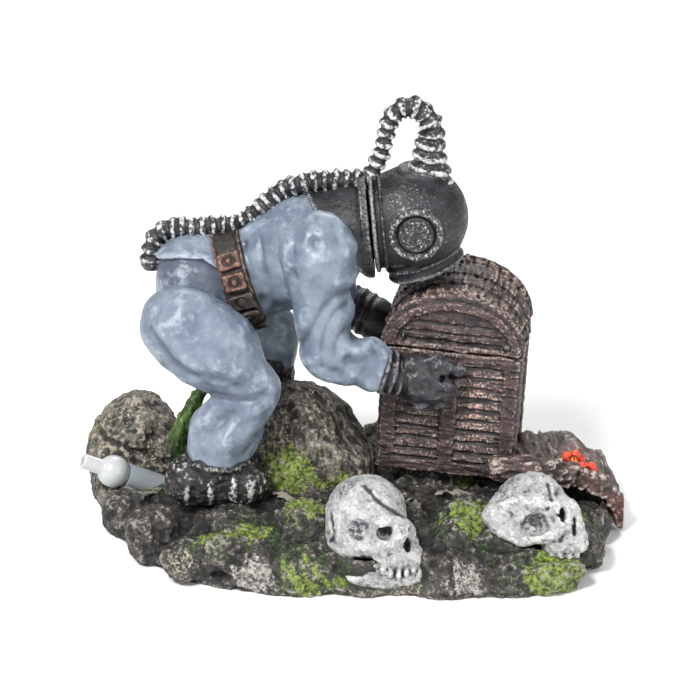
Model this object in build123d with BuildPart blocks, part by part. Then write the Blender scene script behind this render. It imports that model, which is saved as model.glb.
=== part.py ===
"""Air-driven aquarium ornament: a helmet diver bent over a treasure chest on a rocky base.

Millimetres, +Z up, X along the base, -Y towards the viewer's side. The origin is on the flat
underside of the base, below its middle. The chest stands on its own slightly turned frame, and
its hollow lid swings on a pin when rising air fills it.
"""

import os
from math import asin, cos, radians, sin

from build123d import *

# ---- driving dimensions -------------------------------------------------------------------
FIGURE_Y = 5.0  # middle plane of the diver, the helmet and the chest

# chest, in its own frame: x across the end face, y along the barrel, z up
CHEST_FOOT = (25.5, FIGURE_Y + 1.0, 17.0)
CHEST_YAW = 8.0
CHEST_ROLL = 3.0
CHEST_WIDTH = 34.0
CHEST_DEPTH = 28.0
BODY_HEIGHT = 33.0
CHEST_WALL = 2.4
FLOOR_THICKNESS = 2.6
LID_GAP = 0.35
LID_OVERHANG = 0.6
LID_RISE = 14.3
LID_WALL = 1.8
PIN_RADIUS = 0.75
PIN_CLEARANCE = 0.06
PIN_X = 13.2
PIN_ABOVE_RIM = 2.2
EAR_RADIUS = 1.6
EAR_THICKNESS = 1.6
EAR_GAP = 0.4

# helmet
HELMET_CENTRE = (16.0, FIGURE_Y, 80.4)
HELMET_RADIUS = 13.4
NECK_AXIS = (0.995, 0.0, 0.098)
NECK_RING = (5.2, FIGURE_Y, 79.2)
VISOR_AXIS = (0.34, 0.0, -0.94)
VISOR_ROOT = (17.3, FIGURE_Y, 72.6)
WINDOW_RADIUS = 6.5

# air line
INLET_POINT = (-48.6, 0.0, 9.2)
INLET_AXIS = Vector(-0.84, -0.28, 0.46).normalized()
TUBE_RADIUS = 3.3
TUBE_BORE = 2.0
BALL_DISTANCE = 13.5
BALL_RADIUS = 4.1
SPIGOT_RADIUS = 1.95
SPIGOT_END = 22.5
NOZZLE_BORE = 1.1
BARB_START = 3.0
TUBE_OUTER_END = 9.8
TUBE_TURN = -6.0
TUBE_BEND = 12.0
RISER_X = 22.0
RISER_RADIUS = 2.0
RISER_BORE = 1.0
RISER_TOP = 24.5
RISER_REACH = 6.0
RISER_PLUG = 5.0


# ---- shape helpers, used inside an open BuildPart -----------------------------------------
def perpendicular(direction):
    """Any unit vector square to direction."""
    side = Vector(0, 0, 1) if abs(direction.Z) < 0.9 else Vector(1, 0, 0)
    return direction.cross(side).normalized()


def along_plane(start, direction):
    """A plane whose local x runs along direction, for profiles that are turned about it."""
    direction = Vector(direction).normalized()
    return Plane(origin=start, x_dir=direction, z_dir=perpendicular(direction))


def across_plane(point, direction):
    """A plane square to direction."""
    return Plane(origin=point, z_dir=Vector(direction).normalized())


def turn_profile(profile, plane, mode=Mode.ADD):
    """Turns a half profile a full circle about its plane's local x."""
    revolve(profile.sketch, axis=Axis(plane.origin, plane.x_dir), revolution_arc=360, mode=mode)


def limb(start, end, start_radius, end_radius, mode=Mode.ADD):
    """Two balls and the cone that touches both, as one turned solid."""
    start, end = Vector(start), Vector(end)
    length = (end - start).length
    slope = asin((start_radius - end_radius) / length)
    plane = along_plane(start, end - start)
    first = (start_radius * sin(slope), start_radius * cos(slope))
    second = (length + end_radius * sin(slope), end_radius * cos(slope))
    near_turn = (radians(90) + slope) / 2
    far_turn = (radians(90) - slope) / 2
    near_middle = (-start_radius * cos(near_turn), start_radius * sin(near_turn))
    far_middle = (length + end_radius * cos(far_turn), end_radius * sin(far_turn))
    with BuildSketch(plane) as profile:
        with BuildLine():
            ThreePointArc((-start_radius, 0), near_middle, first)
            Line(first, second)
            ThreePointArc(second, far_middle, (length + end_radius, 0))
            Line((length + end_radius, 0), (-start_radius, 0))
        make_face()
    turn_profile(profile, plane, mode)


def pebble(centre, direction, half_length, radius, mode=Mode.ADD):
    """A rounded stone: a ball drawn out along direction to half_length each way."""
    reach = Vector(direction).normalized() * (half_length - radius)
    limb(Vector(centre) - reach, Vector(centre) + reach, radius, radius, mode)


def ball(centre, radius, mode=Mode.ADD):
    with Locations(centre):
        Sphere(radius, mode=mode)


def rod(start, direction, length, radius, mode=Mode.ADD):
    with BuildSketch(across_plane(start, direction)) as profile:
        Circle(radius)
    extrude(profile.sketch, amount=length, mode=mode)


def ring(start, direction, length, outer, inner):
    with BuildSketch(across_plane(start, direction)) as profile:
        Circle(outer)
        Circle(inner, mode=Mode.SUBTRACT)
    extrude(profile.sketch, amount=length)


def carve(*others):
    """Takes finished neighbours out of the open part, so that the two meet face to face."""
    for other in others:
        add(other.part, mode=Mode.SUBTRACT)


def keep_side(point, direction):
    """Keeps what lies beyond a plane through point, on the side that direction points to."""
    split(bisect_by=Plane(origin=point, z_dir=Vector(direction).normalized()), keep=Keep.TOP)


def ribbed_hose(points, radius, corner_radius, pitch, rib_height):
    """A hose along rounded runs, with a raised ring every pitch."""
    with BuildLine() as route:
        FilletPolyline(*points, radius=corner_radius)
    path = route.wires()[0]
    with BuildSketch(Plane(origin=path @ 0, z_dir=path % 0)) as profile:
        Circle(radius)
    sweep(profile.sketch, path=path)
    count = int(path.length / pitch)
    for place in range(1, count):
        share = place / count
        step = (path % share).normalized()
        middle = (path @ share) - step * (0.28 * pitch)
        rod(middle, step, 0.56 * pitch, radius + rib_height)


def place(name, label):
    name.part.label = label
    export_step(name.part, f"parts/{label}.step")


os.makedirs("parts", exist_ok=True)

# ---- air line -----------------------------------------------------------------------------
def inlet(distance):
    """A point on the inlet's axis, that far out from where it enters the rock."""
    return Vector(*INLET_POINT) + INLET_AXIS * distance


riser_foot = Vector(RISER_X, inlet(TUBE_TURN).Y, inlet(TUBE_TURN).Z)


def air_run(radius, mode=Mode.ADD):
    """The hose's own line, from the nozzle down into the base and along to the riser."""
    with BuildLine() as route:
        FilletPolyline(
            inlet(TUBE_OUTER_END),
            inlet(TUBE_TURN),
            riser_foot - Vector(RISER_REACH, 0, 0),
            radius=TUBE_BEND,
        )
    path = route.wires()[0]
    with BuildSketch(Plane(origin=path @ 0, z_dir=path % 0)) as profile:
        Circle(radius)
    sweep(profile.sketch, path=path, mode=mode)


# ---- chest --------------------------------------------------------------------------------
yaw, roll = radians(CHEST_YAW), radians(CHEST_ROLL)
chest_x = Vector(cos(yaw) * cos(roll), -sin(yaw) * cos(roll), -sin(roll))
chest_y = Vector(sin(yaw), cos(yaw), 0)
chest_frame = Plane(origin=CHEST_FOOT, x_dir=chest_x, z_dir=chest_x.cross(chest_y))
half_width, half_depth = CHEST_WIDTH / 2, CHEST_DEPTH / 2
pin_height = BODY_HEIGHT + PIN_ABOVE_RIM


def in_chest(x, y, z):
    """A point of the chest's own frame, in the part's frame."""
    return chest_frame.from_local_coords(Vector(x, y, z))


def chest_section(y):
    """The chest's x-z plane at depth y: extruding it by a positive amount goes to the front."""
    return Plane(origin=in_chest(0, y, 0), x_dir=chest_frame.x_dir, z_dir=-chest_frame.y_dir)


def arch(half_span, rise, foot):
    """Upper half of an ellipse, standing at height foot."""
    with Locations((0, foot)):
        Ellipse(half_span, rise)
        Rectangle(2.2 * half_span, 1.1 * rise, align=(Align.CENTER, Align.MAX), mode=Mode.SUBTRACT)


def panel_frame(side):
    """Corner stiles, rails and slats on an end face; side is -1 for the front and 1 for the back."""
    relief, slat_relief = 0.8, 0.45
    stile, rail = 4.2, 3.4
    centre_y = side * (half_depth + relief / 2)
    bay = (CHEST_WIDTH - 3 * stile) / 2
    for x in (-half_width + stile / 2, 0, half_width - stile / 2):
        with Locations((x, centre_y, BODY_HEIGHT / 2)):
            Box(stile, relief, BODY_HEIGHT)
    for z in (rail / 2, BODY_HEIGHT - rail / 2):
        with Locations((0, centre_y, z)):
            Box(CHEST_WIDTH, relief, rail)
    slat_count = 8
    pitch = (BODY_HEIGHT - 2 * rail) / slat_count
    for row in range(slat_count):
        for x in (-(stile + bay) / 2, (stile + bay) / 2):
            with Locations((x, side * (half_depth + slat_relief / 2), rail + (row + 0.5) * pitch)):
                Box(bay, slat_relief, 0.68 * pitch)


with BuildPart(chest_frame) as chest_body:
    Box(CHEST_WIDTH, CHEST_DEPTH, BODY_HEIGHT, align=(Align.CENTER, Align.CENTER, Align.MIN))
    with Locations((0, 0, FLOOR_THICKNESS)):
        Box(
            CHEST_WIDTH - 2 * CHEST_WALL,
            CHEST_DEPTH - 2 * CHEST_WALL,
            BODY_HEIGHT,
            align=(Align.CENTER, Align.CENTER, Align.MIN),
            mode=Mode.SUBTRACT,
        )
    for side in (-1, 1):
        panel_frame(side)
    with BuildSketch(chest_section(half_depth + 2)):
        with BuildLine():
            Polyline(
                (12.6, BODY_HEIGHT - 0.03),
                (12.6, BODY_HEIGHT + 1.0),
                (half_width + 2.0, BODY_HEIGHT + 1.0),
                (half_width + 2.0, BODY_HEIGHT - 0.65),
                close=True,
            )
        make_face()
    extrude(amount=CHEST_DEPTH + 4, mode=Mode.SUBTRACT)
    ear_face = half_depth - LID_WALL - EAR_GAP
    for y in (ear_face, -ear_face + EAR_THICKNESS):
        with BuildSketch(chest_section(y)):
            with Locations((PIN_X, pin_height)):
                Circle(EAR_RADIUS)
            with Locations((PIN_X, pin_height)):
                Rectangle(2 * EAR_RADIUS, 8.0, align=(Align.CENTER, Align.MAX))
            with Locations((half_width - CHEST_WALL / 2, BODY_HEIGHT - 0.7)):
                Rectangle(6.0, 5.0, align=(Align.MAX, Align.MAX))
        extrude(amount=EAR_THICKNESS)
    with BuildSketch(chest_section(half_depth)):
        with Locations((PIN_X, pin_height)):
            Circle(PIN_RADIUS)
    extrude(amount=CHEST_DEPTH, mode=Mode.SUBTRACT)
    rod(riser_foot, (0, 0, 1), 20, RISER_RADIUS, Mode.SUBTRACT)

lid_foot = BODY_HEIGHT + LID_GAP
lid_half_span = half_width + LID_OVERHANG
lid_depth = CHEST_DEPTH + 2 * LID_OVERHANG
band_relief, band_width = 0.7, 3.2

with BuildPart(chest_frame) as chest_lid:
    with BuildSketch(chest_section(lid_depth / 2)):
        arch(lid_half_span, LID_RISE, lid_foot)
    extrude(amount=lid_depth)
    for y in (lid_depth / 2, band_width / 2 + 2, -lid_depth / 2 + band_width):
        with BuildSketch(chest_section(y)):
            arch(lid_half_span + band_relief * 0.5, LID_RISE + band_relief, lid_foot)
        extrude(amount=band_width)
    with BuildSketch(chest_section(half_depth - LID_WALL)):
        arch(lid_half_span - LID_WALL, LID_RISE - LID_WALL, lid_foot - 0.01)
    extrude(amount=CHEST_DEPTH - 2 * LID_WALL, mode=Mode.SUBTRACT)
    for y in (lid_depth / 2 + 0.8, -lid_depth / 2):
        with BuildSketch(chest_section(y)):
            arch(lid_half_span - 2.2, LID_RISE - 2.4, lid_foot + 0.4)
            arch(lid_half_span - 4.6, LID_RISE - 5.0, lid_foot + 1.8)
        extrude(amount=0.8)
    with BuildSketch(chest_section(lid_depth)):
        with Locations((PIN_X, pin_height)):
            Circle(PIN_RADIUS + PIN_CLEARANCE)
    extrude(amount=lid_depth + half_depth + 0.1, mode=Mode.SUBTRACT)

with BuildPart(chest_frame) as hinge_pin:
    with BuildSketch(chest_section(half_depth - 0.2)):
        with Locations((PIN_X, pin_height)):
            Circle(PIN_RADIUS)
    extrude(amount=CHEST_DEPTH - 0.4)

# ---- air fittings -------------------------------------------------------------------------
with BuildPart() as air_tube:
    air_run(TUBE_RADIUS)
    air_run(TUBE_BORE, Mode.SUBTRACT)

with BuildPart() as inlet_nozzle:
    ball(inlet(BALL_DISTANCE), BALL_RADIUS)
    rod(inlet(BARB_START), INLET_AXIS, BALL_DISTANCE - BARB_START, TUBE_BORE)
    rod(inlet(BALL_DISTANCE), INLET_AXIS, SPIGOT_END - BALL_DISTANCE, SPIGOT_RADIUS)
    tip = edges().sort_by(Axis(inlet(0), INLET_AXIS))[-1]
    chamfer(tip, 0.4)
    rod(inlet(0), INLET_AXIS, SPIGOT_END + 5, NOZZLE_BORE, Mode.SUBTRACT)

with BuildPart() as air_riser:
    rod(riser_foot, (0, 0, 1), RISER_TOP - riser_foot.Z, RISER_RADIUS)
    rod(riser_foot, (-1, 0, 0), RISER_REACH + RISER_PLUG, RISER_RADIUS)
    ball(riser_foot, RISER_RADIUS)
    rod(riser_foot, (0, 0, 1), RISER_TOP, RISER_BORE, Mode.SUBTRACT)
    rod(riser_foot, (-1, 0, 0), 14.0, RISER_BORE, Mode.SUBTRACT)

# ---- ground -------------------------------------------------------------------------------
GROUND_OUTLINE = [
    (-66, 10), (-60, -9), (-52, -23), (-40, -35), (-24, -42), (-4, -43.6), (18, -44), (38, -43.6),
    (53, -40), (60, -26), (63, -8), (62, 10), (52, 27), (30, 36), (0, 39), (-30, 38), (-54, 31),
]
GROUND_LEVELS = [(0, 0.965), (2.2, 0.99), (5.4, 0.94), (8.6, 0.84), (11.2, 0.70), (12.8, 0.52)]
GROUND_CENTRE = (-1.0, -2.0)


def shrunk_outline(share):
    """The ground outline drawn in towards the base's centre."""
    centre_x, centre_y = GROUND_CENTRE
    return [(centre_x + (x - centre_x) * share, centre_y + (y - centre_y) * share) for x, y in GROUND_OUTLINE]


with BuildPart() as ground:
    for height, share in GROUND_LEVELS:
        with BuildSketch(Plane.XY.offset(height)):
            with BuildLine():
                Polyline(*shrunk_outline(share), close=True)
            make_face()
    loft(ruled=True)
    pebble((7.5, -41.0, 8.5), (1, 0, 0.1), 12.5, 10.0, Mode.SUBTRACT)
    pebble((48.5, -36.5, 15.5), (1, 0.2, 0), 12.5, 9.5, Mode.SUBTRACT)

# ---- diver --------------------------------------------------------------------------------
PELVIS = (-37.5, FIGURE_Y, 65.3)
WAIST = (-25.5, FIGURE_Y, 65.2)
RIBCAGE = (-11.5, FIGURE_Y, 71.6)
BELT_MIDDLE = (-27.2, FIGURE_Y, 65.0)
BELT_AXIS = Vector(0.955, 0, 0.297)
BELT_WIDTH = 6.6
BELT_RADIUS = 12.3
BLOCK_ROOT = 1.2  # how far a block on the belt is sunk into it

with BuildPart() as torso:
    limb(PELVIS, WAIST, 11.0, 11.0)
    limb(WAIST, RIBCAGE, 11.0, 15.0)
    pebble((-40.6, FIGURE_Y, 66.0), (0, 1, 0), 12.5, 8.0)

with BuildPart() as belt:
    limb(PELVIS, WAIST, 12.3, 12.3)
    limb(WAIST, RIBCAGE, 12.3, 16.3)
    keep_side(Vector(*BELT_MIDDLE) - BELT_AXIS * (BELT_WIDTH / 2), BELT_AXIS)
    keep_side(Vector(*BELT_MIDDLE) + BELT_AXIS * (BELT_WIDTH / 2), -BELT_AXIS)
    carve(torso)


NEAR_HIP, NEAR_THIGH, NEAR_KNEE = (-42.1, -10.0, 58.2), (-33.0, -11.0, 51.6), (-24.3, -12.5, 41.8)
NEAR_CALF = (-31.0, -13.0, 30.3)
FAR_HIP, FAR_KNEE, FAR_ANKLE = (-41.0, 20.0, 58.2), (-19.8, 21.0, 43.5), (-20.6, 20.0, 34.0)

with BuildPart() as left_leg:
    limb(NEAR_HIP, NEAR_THIGH, 8.8, 9.6)
    limb(NEAR_THIGH, NEAR_KNEE, 9.6, 6.8)
    limb(NEAR_KNEE, NEAR_CALF, 6.9, 8.5)
    carve(torso, belt)

with BuildPart() as right_leg:
    limb(FAR_HIP, FAR_KNEE, 9.0, 6.2)
    limb(FAR_KNEE, FAR_ANKLE, 6.3, 5.6)
    carve(torso, belt)

with BuildPart() as left_arm:
    limb((-7.8, -11.0, 77.1), (-6.0, -12.4, 61.0), 9.6, 6.9)
    limb((-6.0, -12.4, 61.0), (-5.0, -14.0, 52.4), 7.0, 6.7)
    limb((-5.0, -14.0, 52.4), (7.2, -13.0, 47.3), 6.8, 6.2)
    carve(torso)

with BuildPart() as right_arm:
    limb((-7.8, 21.0, 77.1), (-6.0, 23.0, 59.0), 9.6, 6.9)
    limb((-6.0, 23.0, 59.0), (-5.2, 24.6, 53.4), 7.0, 6.7)
    limb((-5.2, 24.6, 53.4), (1.6, 24.0, 49.6), 6.8, 5.6)
    carve(torso)


with BuildPart(chest_frame) as chest_block:
    Box(CHEST_WIDTH, CHEST_DEPTH + 1.6, BODY_HEIGHT, align=(Align.CENTER, Align.CENTER, Align.MIN))

with BuildPart(chest_frame) as lid_block:
    with Locations((0, 0, BODY_HEIGHT - 0.35)):
        Box(CHEST_WIDTH + 3.2, CHEST_DEPTH + 4.6, 20, align=(Align.CENTER, Align.CENTER, Align.MIN))

with BuildPart() as left_glove:
    limb((9.4, -12.8, 46.4), (12.0, -12.4, 45.4), 6.0, 5.4)
    limb((13.0, -12.0, 44.6), (21.0, -11.6, 42.8), 5.9, 6.4)
    limb((22.0, -11.6, 45.2), (26.8, -11.2, 46.6), 3.6, 2.0)
    limb((22.0, -12.4, 40.6), (26.0, -11.6, 43.0), 3.4, 2.2)
    carve(left_arm, chest_block, lid_block)

with BuildPart() as right_glove:
    limb((2.0, 23.0, 49.0), (5.6, 21.6, 47.6), 5.8, 5.4)
    limb((6.6, 21.4, 47.0), (12.5, 20.4, 44.6), 5.4, 5.0)
    carve(right_arm, chest_block, lid_block)


def boot(heel, toe, ankle, sole, ankle_radius):
    """Foot, heel and shaft standing on a flat sole."""
    limb(heel, toe, 6.4, 5.6)
    limb(ankle, (heel[0] + 5, heel[1], heel[2] + 3), ankle_radius, 6.4)
    keep_side((0, 0, sole), (0, 0, 1))


BOOT_SOLE = 11.5
with BuildPart() as left_boot:
    boot((-39.6, -14.6, 18.0), (-26.4, -14.6, 17.4), (-32.0, -13.8, 24.4), BOOT_SOLE, 6.8)
    carve(left_leg, ground)

with BuildPart() as right_boot:
    boot((-27.0, 20.4, 17.0), (-16.0, 20.4, 16.6), (-21.0, 20.0, 32.0), BOOT_SOLE, 5.9)
    carve(right_leg, ground)

with BuildPart() as corselet:
    limb(RIBCAGE, (1.0, FIGURE_Y, 75.6), 15.9, 12.9)
    keep_side((-1.6, FIGURE_Y, 74.5), (0.91, 0, 0.41))
    rod(Vector(*NECK_RING) - Vector(*NECK_AXIS) * 2.4, NECK_AXIS, 2.4, 12.8)
    keep_side(NECK_RING, -Vector(*NECK_AXIS))
    carve(torso, left_arm, right_arm)

with BuildPart() as helmet:
    ball(HELMET_CENTRE, HELMET_RADIUS)
    neck_start = Vector(*NECK_RING) + Vector(*NECK_AXIS) * 2.2
    rod(neck_start, NECK_AXIS, 6.0, 12.0)
    ring(Vector(*NECK_RING), NECK_AXIS, 2.2, 12.9, 0.01)
    keep_side(NECK_RING, NECK_AXIS)
    ball(HELMET_CENTRE, HELMET_RADIUS - 2.2, Mode.SUBTRACT)
    rod(Vector(*NECK_RING) - Vector(*NECK_AXIS), NECK_AXIS, 9.0, 8.4, Mode.SUBTRACT)
    rod(VISOR_ROOT, VISOR_AXIS, 12.0, 7.6, Mode.SUBTRACT)

with BuildPart() as front_window:
    ring(VISOR_ROOT, VISOR_AXIS, 5.6, 9.4, 7.6)
    ring(Vector(*VISOR_ROOT) + Vector(*VISOR_AXIS) * 4.4, VISOR_AXIS, 1.2, 9.9, 7.6)
    rod(Vector(*VISOR_ROOT) + Vector(*VISOR_AXIS) * 2.6, VISOR_AXIS, 1.4, 7.6)
    carve(helmet)


def side_window(side):
    """Flanged ring, groove and domed pane on one side of the helmet."""
    outward = Vector(0, side, 0)
    root = Vector(HELMET_CENTRE) + outward * (HELMET_RADIUS - 2.0)
    rod(root, outward, 2.6, WINDOW_RADIUS)
    rod(root + outward * 1.9, outward, 1.0, 5.0, Mode.SUBTRACT)
    ball(root - outward * 4.85, 7.95)
    keep_side(root, outward)


with BuildPart() as left_window:
    side_window(-1)
    carve(helmet)

with BuildPart() as right_window:
    side_window(1)
    carve(helmet)

LOOP_ROUTE = [
    (20.2, FIGURE_Y, 100.4), (19.4, FIGURE_Y, 106.0), (13.8, FIGURE_Y, 109.6),
    (9.6, FIGURE_Y, 105.4), (8.4, FIGURE_Y, 99.0), (4.6, FIGURE_Y, 91.4),
]
BACK_ROUTE = [
    (3.6, FIGURE_Y, 90.4), (-8.0, FIGURE_Y, 89.4), (-17.0, FIGURE_Y, 87.4),
    (-27.0, FIGURE_Y, 78.0), (-45.4, FIGURE_Y, 77.8), (-49.4, FIGURE_Y, 68.0),
]

with BuildPart() as hose_loop:
    crown = along_plane((19.6, FIGURE_Y, 89.0), (0.04, 0, 1))
    with BuildSketch(crown) as profile:
        with BuildLine():
            Line((0, 0), (0, 5.9))
            Spline((0, 5.9), (4.0, 5.2), (8.0, 4.3), (12.6, 3.0))
            Polyline((12.6, 3.0), (12.6, 0), (0, 0))
        make_face()
    turn_profile(profile, crown)
    for step in range(5):
        rib_radius = 6.3 - 0.55 * step
        rod((19.7 + 0.1 * step, FIGURE_Y, 90.2 + 2.4 * step), (0.04, 0, 1), 1.3, rib_radius)
    ribbed_hose(
        LOOP_ROUTE,
        2.4,
        [2.6, 2.6, 2.6, 3.0],
        2.4,
        0.4,
    )
    carve(helmet, corselet, torso)

with BuildPart() as hose_back:
    ribbed_hose(
        BACK_ROUTE,
        2.0,
        [8.0, 5.0, 8.0, 3.5],
        2.2,
        0.4,
    )
    carve(torso, belt, corselet, helmet, hose_loop)


def belt_block(angle, width, height, thickness):
    """A block on the belt; angle 0 faces the viewer and 90 the top of the back."""
    upward = BELT_AXIS.cross(Vector(0, 1, 0))
    spoke = Vector(0, -cos(radians(angle)), 0) + upward * sin(radians(angle))
    plane = Plane(
        origin=Vector(*BELT_MIDDLE) + spoke * (BELT_RADIUS - BLOCK_ROOT),
        x_dir=BELT_AXIS,
        z_dir=spoke,
    )
    with BuildSketch(plane) as profile:
        RectangleRounded(width, height, 0.7)
    extrude(profile.sketch, amount=thickness + BLOCK_ROOT)
    return plane.offset(thickness + BLOCK_ROOT)


with BuildPart() as belt_weights:
    for angle in (37, 14, 143, 166):
        face = belt_block(angle, 5.6, 4.4, 1.5)
        with BuildSketch(face):
            Circle(1.5)
            Circle(0.8, mode=Mode.SUBTRACT)
        extrude(amount=0.4)
    carve(torso, belt, left_leg, right_leg)

with BuildPart() as belt_pouches:
    for angle in (-9, -32, -55, -125, -148, -171):
        belt_block(angle, 7.2, 4.4, 1.6)
    carve(torso, belt, left_leg, right_leg)

# ---- skulls -------------------------------------------------------------------------------
def skull(frame, size):
    """A plain skull: x of the frame points out of the face and z out of the crown."""

    def spot(x, y, z):
        return frame.from_local_coords(Vector(x, y, z) * size)

    limb(spot(-1.6, 0, 0), spot(2.6, 0, 0.2), 9.4 * size, 8.4 * size)
    limb(spot(5.5, 0, -4.0), spot(9.6, 0, -9.0), 5.8 * size, 4.3 * size)
    limb(spot(2.6, 0, -9.6), spot(8.8, 0, -12.2), 4.0 * size, 3.6 * size)
    for side in (-1, 1):
        ball(spot(11.0, side * 3.9, -2.8), 2.7 * size, Mode.SUBTRACT)
        ball(spot(3.0, side * 11.6, -2.4), 4.0 * size, Mode.SUBTRACT)
    ball(spot(13.6, 0, -7.2), 1.5 * size, Mode.SUBTRACT)


def skull_frame(centre, gaze, left):
    """A frame whose x is the way the face looks; left is roughly its left-hand side."""
    gaze = Vector(*gaze).normalized()
    return Plane(origin=centre, x_dir=gaze, z_dir=gaze.cross(Vector(*left)))


FRONT_SKULL = skull_frame((4.4, -31.0, 13.4), (0.66, -0.62, -0.42), (0.66, 0.74, -0.1))
RIGHT_SKULL = skull_frame((44.2, -26.5, 12.8), (0.78, -0.44, -0.44), (0.42, 0.90, -0.12))

with BuildPart() as front_skull:
    skull(FRONT_SKULL, 1.08)
    keep_side((0, 0, 0.6), (0, 0, 1))
    carve(ground)

with BuildPart() as right_skull:
    skull(RIGHT_SKULL, 1.06)
    keep_side((0, 0, 0.6), (0, 0, 1))
    carve(ground)

# ---- rocks and driftwood ------------------------------------------------------------------
with BuildPart() as base_rock:
    add(ground.part)
    air_run(TUBE_RADIUS, Mode.SUBTRACT)
    rod(riser_foot, (0, 0, 1), 20, RISER_RADIUS, Mode.SUBTRACT)
    rod(riser_foot, (-1, 0, 0), RISER_REACH, RISER_RADIUS, Mode.SUBTRACT)
    ball(riser_foot, RISER_RADIUS, Mode.SUBTRACT)

with BuildPart() as centre_boulder:
    pebble((-12.6, 8.0, 12.0), (0, 0, 1), 21.0, 17.4)
    keep_side((0, 0, 6.0), (0, 0, 1))
    carve(ground, left_boot, right_boot, left_leg, right_leg, front_skull)

with BuildPart() as left_boulder:
    pebble((-56.0, 14.5, 13.4), (0.12, 1.0, 0), 14.4, 12.7)
    keep_side((0, 0, 0), (0, 0, 1))
    air_run(TUBE_RADIUS, Mode.SUBTRACT)
    carve(ground, left_boot)

with BuildPart() as chest_rock:
    pebble((22.0, 2.0, 10.5), (1, 0, 0), 12.5, 7.8)
    pebble((31.0, 10.0, 9.5), (0, 1, 0), 9.4, 8.4)
    keep_side((0, 0, 8.0), (0, 0, 1))
    rod(riser_foot, (0, 0, 1), 20, RISER_RADIUS, Mode.SUBTRACT)
    carve(ground, chest_block, centre_boulder, front_skull, right_skull)

with BuildPart() as driftwood_branch:
    limb((36.6, -13.2, 20.6), (45.0, -13.4, 20.2), 3.3, 3.7)
    limb((45.0, -13.4, 20.2), (53.6, -9.6, 17.4), 3.8, 3.2)
    carve(ground, right_skull, chest_block, chest_rock)

with BuildPart() as driftwood_bark:
    bark_plane = Plane(origin=(48.6, 14.0, 0.0), x_dir=(1, 0, 0), z_dir=(0.12, -1, 0))
    with BuildSketch(bark_plane):
        Ellipse(20.4, 18.8)
        Ellipse(16.8, 15.4, mode=Mode.SUBTRACT)
    extrude(amount=25.0)
    keep_side((45.0, 0, 0), (1, 0, 0.35))
    keep_side((0, 0, 1.0), (0, 0, 1))
    carve(ground, right_skull, chest_block, chest_rock, driftwood_branch)

with BuildPart() as coral_polyps:
    for x, y, z, radius in ((56.4, -4.0, 18.6, 2.4), (59.6, -6.5, 16.2, 2.6), (62.6, -6.0, 13.4, 1.7)):
        ball((x, y, z), radius)
    carve(driftwood_bark, driftwood_branch)

with BuildPart() as seaweed:
    for height, share, width in ((0, 0.0, 5.2), (9, 0.30, 4.6), (19, 0.68, 3.8), (27, 1.0, 2.4)):
        with BuildSketch(Plane.XY.offset(9.0 + height)):
            with Locations((-47.0 + 10.5 * share, 5.5 + 2.0 * share)):
                Ellipse(width / 2, 1.1)
    loft()
    carve(ground, left_boulder, left_boot, left_leg, torso)

# ---- export -------------------------------------------------------------------------------
PARTS = {
    "base_rock": base_rock,
    "centre_boulder": centre_boulder,
    "left_boulder": left_boulder,
    "chest_rock": chest_rock,
    "driftwood_bark": driftwood_bark,
    "driftwood_branch": driftwood_branch,
    "coral_polyps": coral_polyps,
    "seaweed": seaweed,
    "front_skull": front_skull,
    "right_skull": right_skull,
    "torso": torso,
    "left_leg": left_leg,
    "right_leg": right_leg,
    "left_boot": left_boot,
    "right_boot": right_boot,
    "left_arm": left_arm,
    "right_arm": right_arm,
    "left_glove": left_glove,
    "right_glove": right_glove,
    "belt": belt,
    "belt_weights": belt_weights,
    "belt_pouches": belt_pouches,
    "corselet": corselet,
    "helmet": helmet,
    "front_window": front_window,
    "left_window": left_window,
    "right_window": right_window,
    "hose_loop": hose_loop,
    "hose_back": hose_back,
    "chest_body": chest_body,
    "chest_lid": chest_lid,
    "hinge_pin": hinge_pin,
    "air_tube": air_tube,
    "inlet_nozzle": inlet_nozzle,
    "air_riser": air_riser,
}
for label, name in PARTS.items():
    place(name, label)
    print(label, len(name.part.solids()), "solids", round(name.part.volume), "mm3")
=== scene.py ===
import math
import bpy
import numpy as np
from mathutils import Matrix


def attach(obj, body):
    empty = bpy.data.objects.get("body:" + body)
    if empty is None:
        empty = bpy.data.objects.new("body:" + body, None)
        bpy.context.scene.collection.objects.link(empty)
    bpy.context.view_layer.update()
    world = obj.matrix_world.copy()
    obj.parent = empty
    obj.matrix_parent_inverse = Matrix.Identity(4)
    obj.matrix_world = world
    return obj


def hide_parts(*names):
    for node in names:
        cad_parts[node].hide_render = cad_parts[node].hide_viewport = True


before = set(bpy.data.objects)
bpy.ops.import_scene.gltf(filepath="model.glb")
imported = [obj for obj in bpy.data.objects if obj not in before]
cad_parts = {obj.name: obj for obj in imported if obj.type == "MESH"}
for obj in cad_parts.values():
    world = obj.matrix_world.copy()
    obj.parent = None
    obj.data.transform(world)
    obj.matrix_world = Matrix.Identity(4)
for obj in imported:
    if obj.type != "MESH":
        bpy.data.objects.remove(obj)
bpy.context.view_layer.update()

import openvdb
from mathutils import Vector

MM = 0.001
FIGURE_Y = 5.0
TO_VIEWER = np.array((0, -0.927, 0.375))
FAR_SIDE = np.array((0, 0.927, 0.375))
PI = math.pi
EMPTY = 20.0

# ---- sculpting kit ------------------------------------------------------------------------
# A Clay is a block of signed distances in millimetres. Shapes are added to it, cut from it and
# textured, and it is then turned into a mesh in the frame of the CAD.


def join(a, b, soft):
    """Both shapes, with a fillet of about that size where they meet."""
    h = np.maximum(soft - np.abs(a - b), 0) / soft
    return np.minimum(a, b) - h * h * soft * 0.25


def cut(a, b, soft):
    """a without b."""
    h = np.maximum(soft - np.abs(a + b), 0) / soft
    return np.maximum(a, -b) + h * h * soft * 0.25


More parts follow.
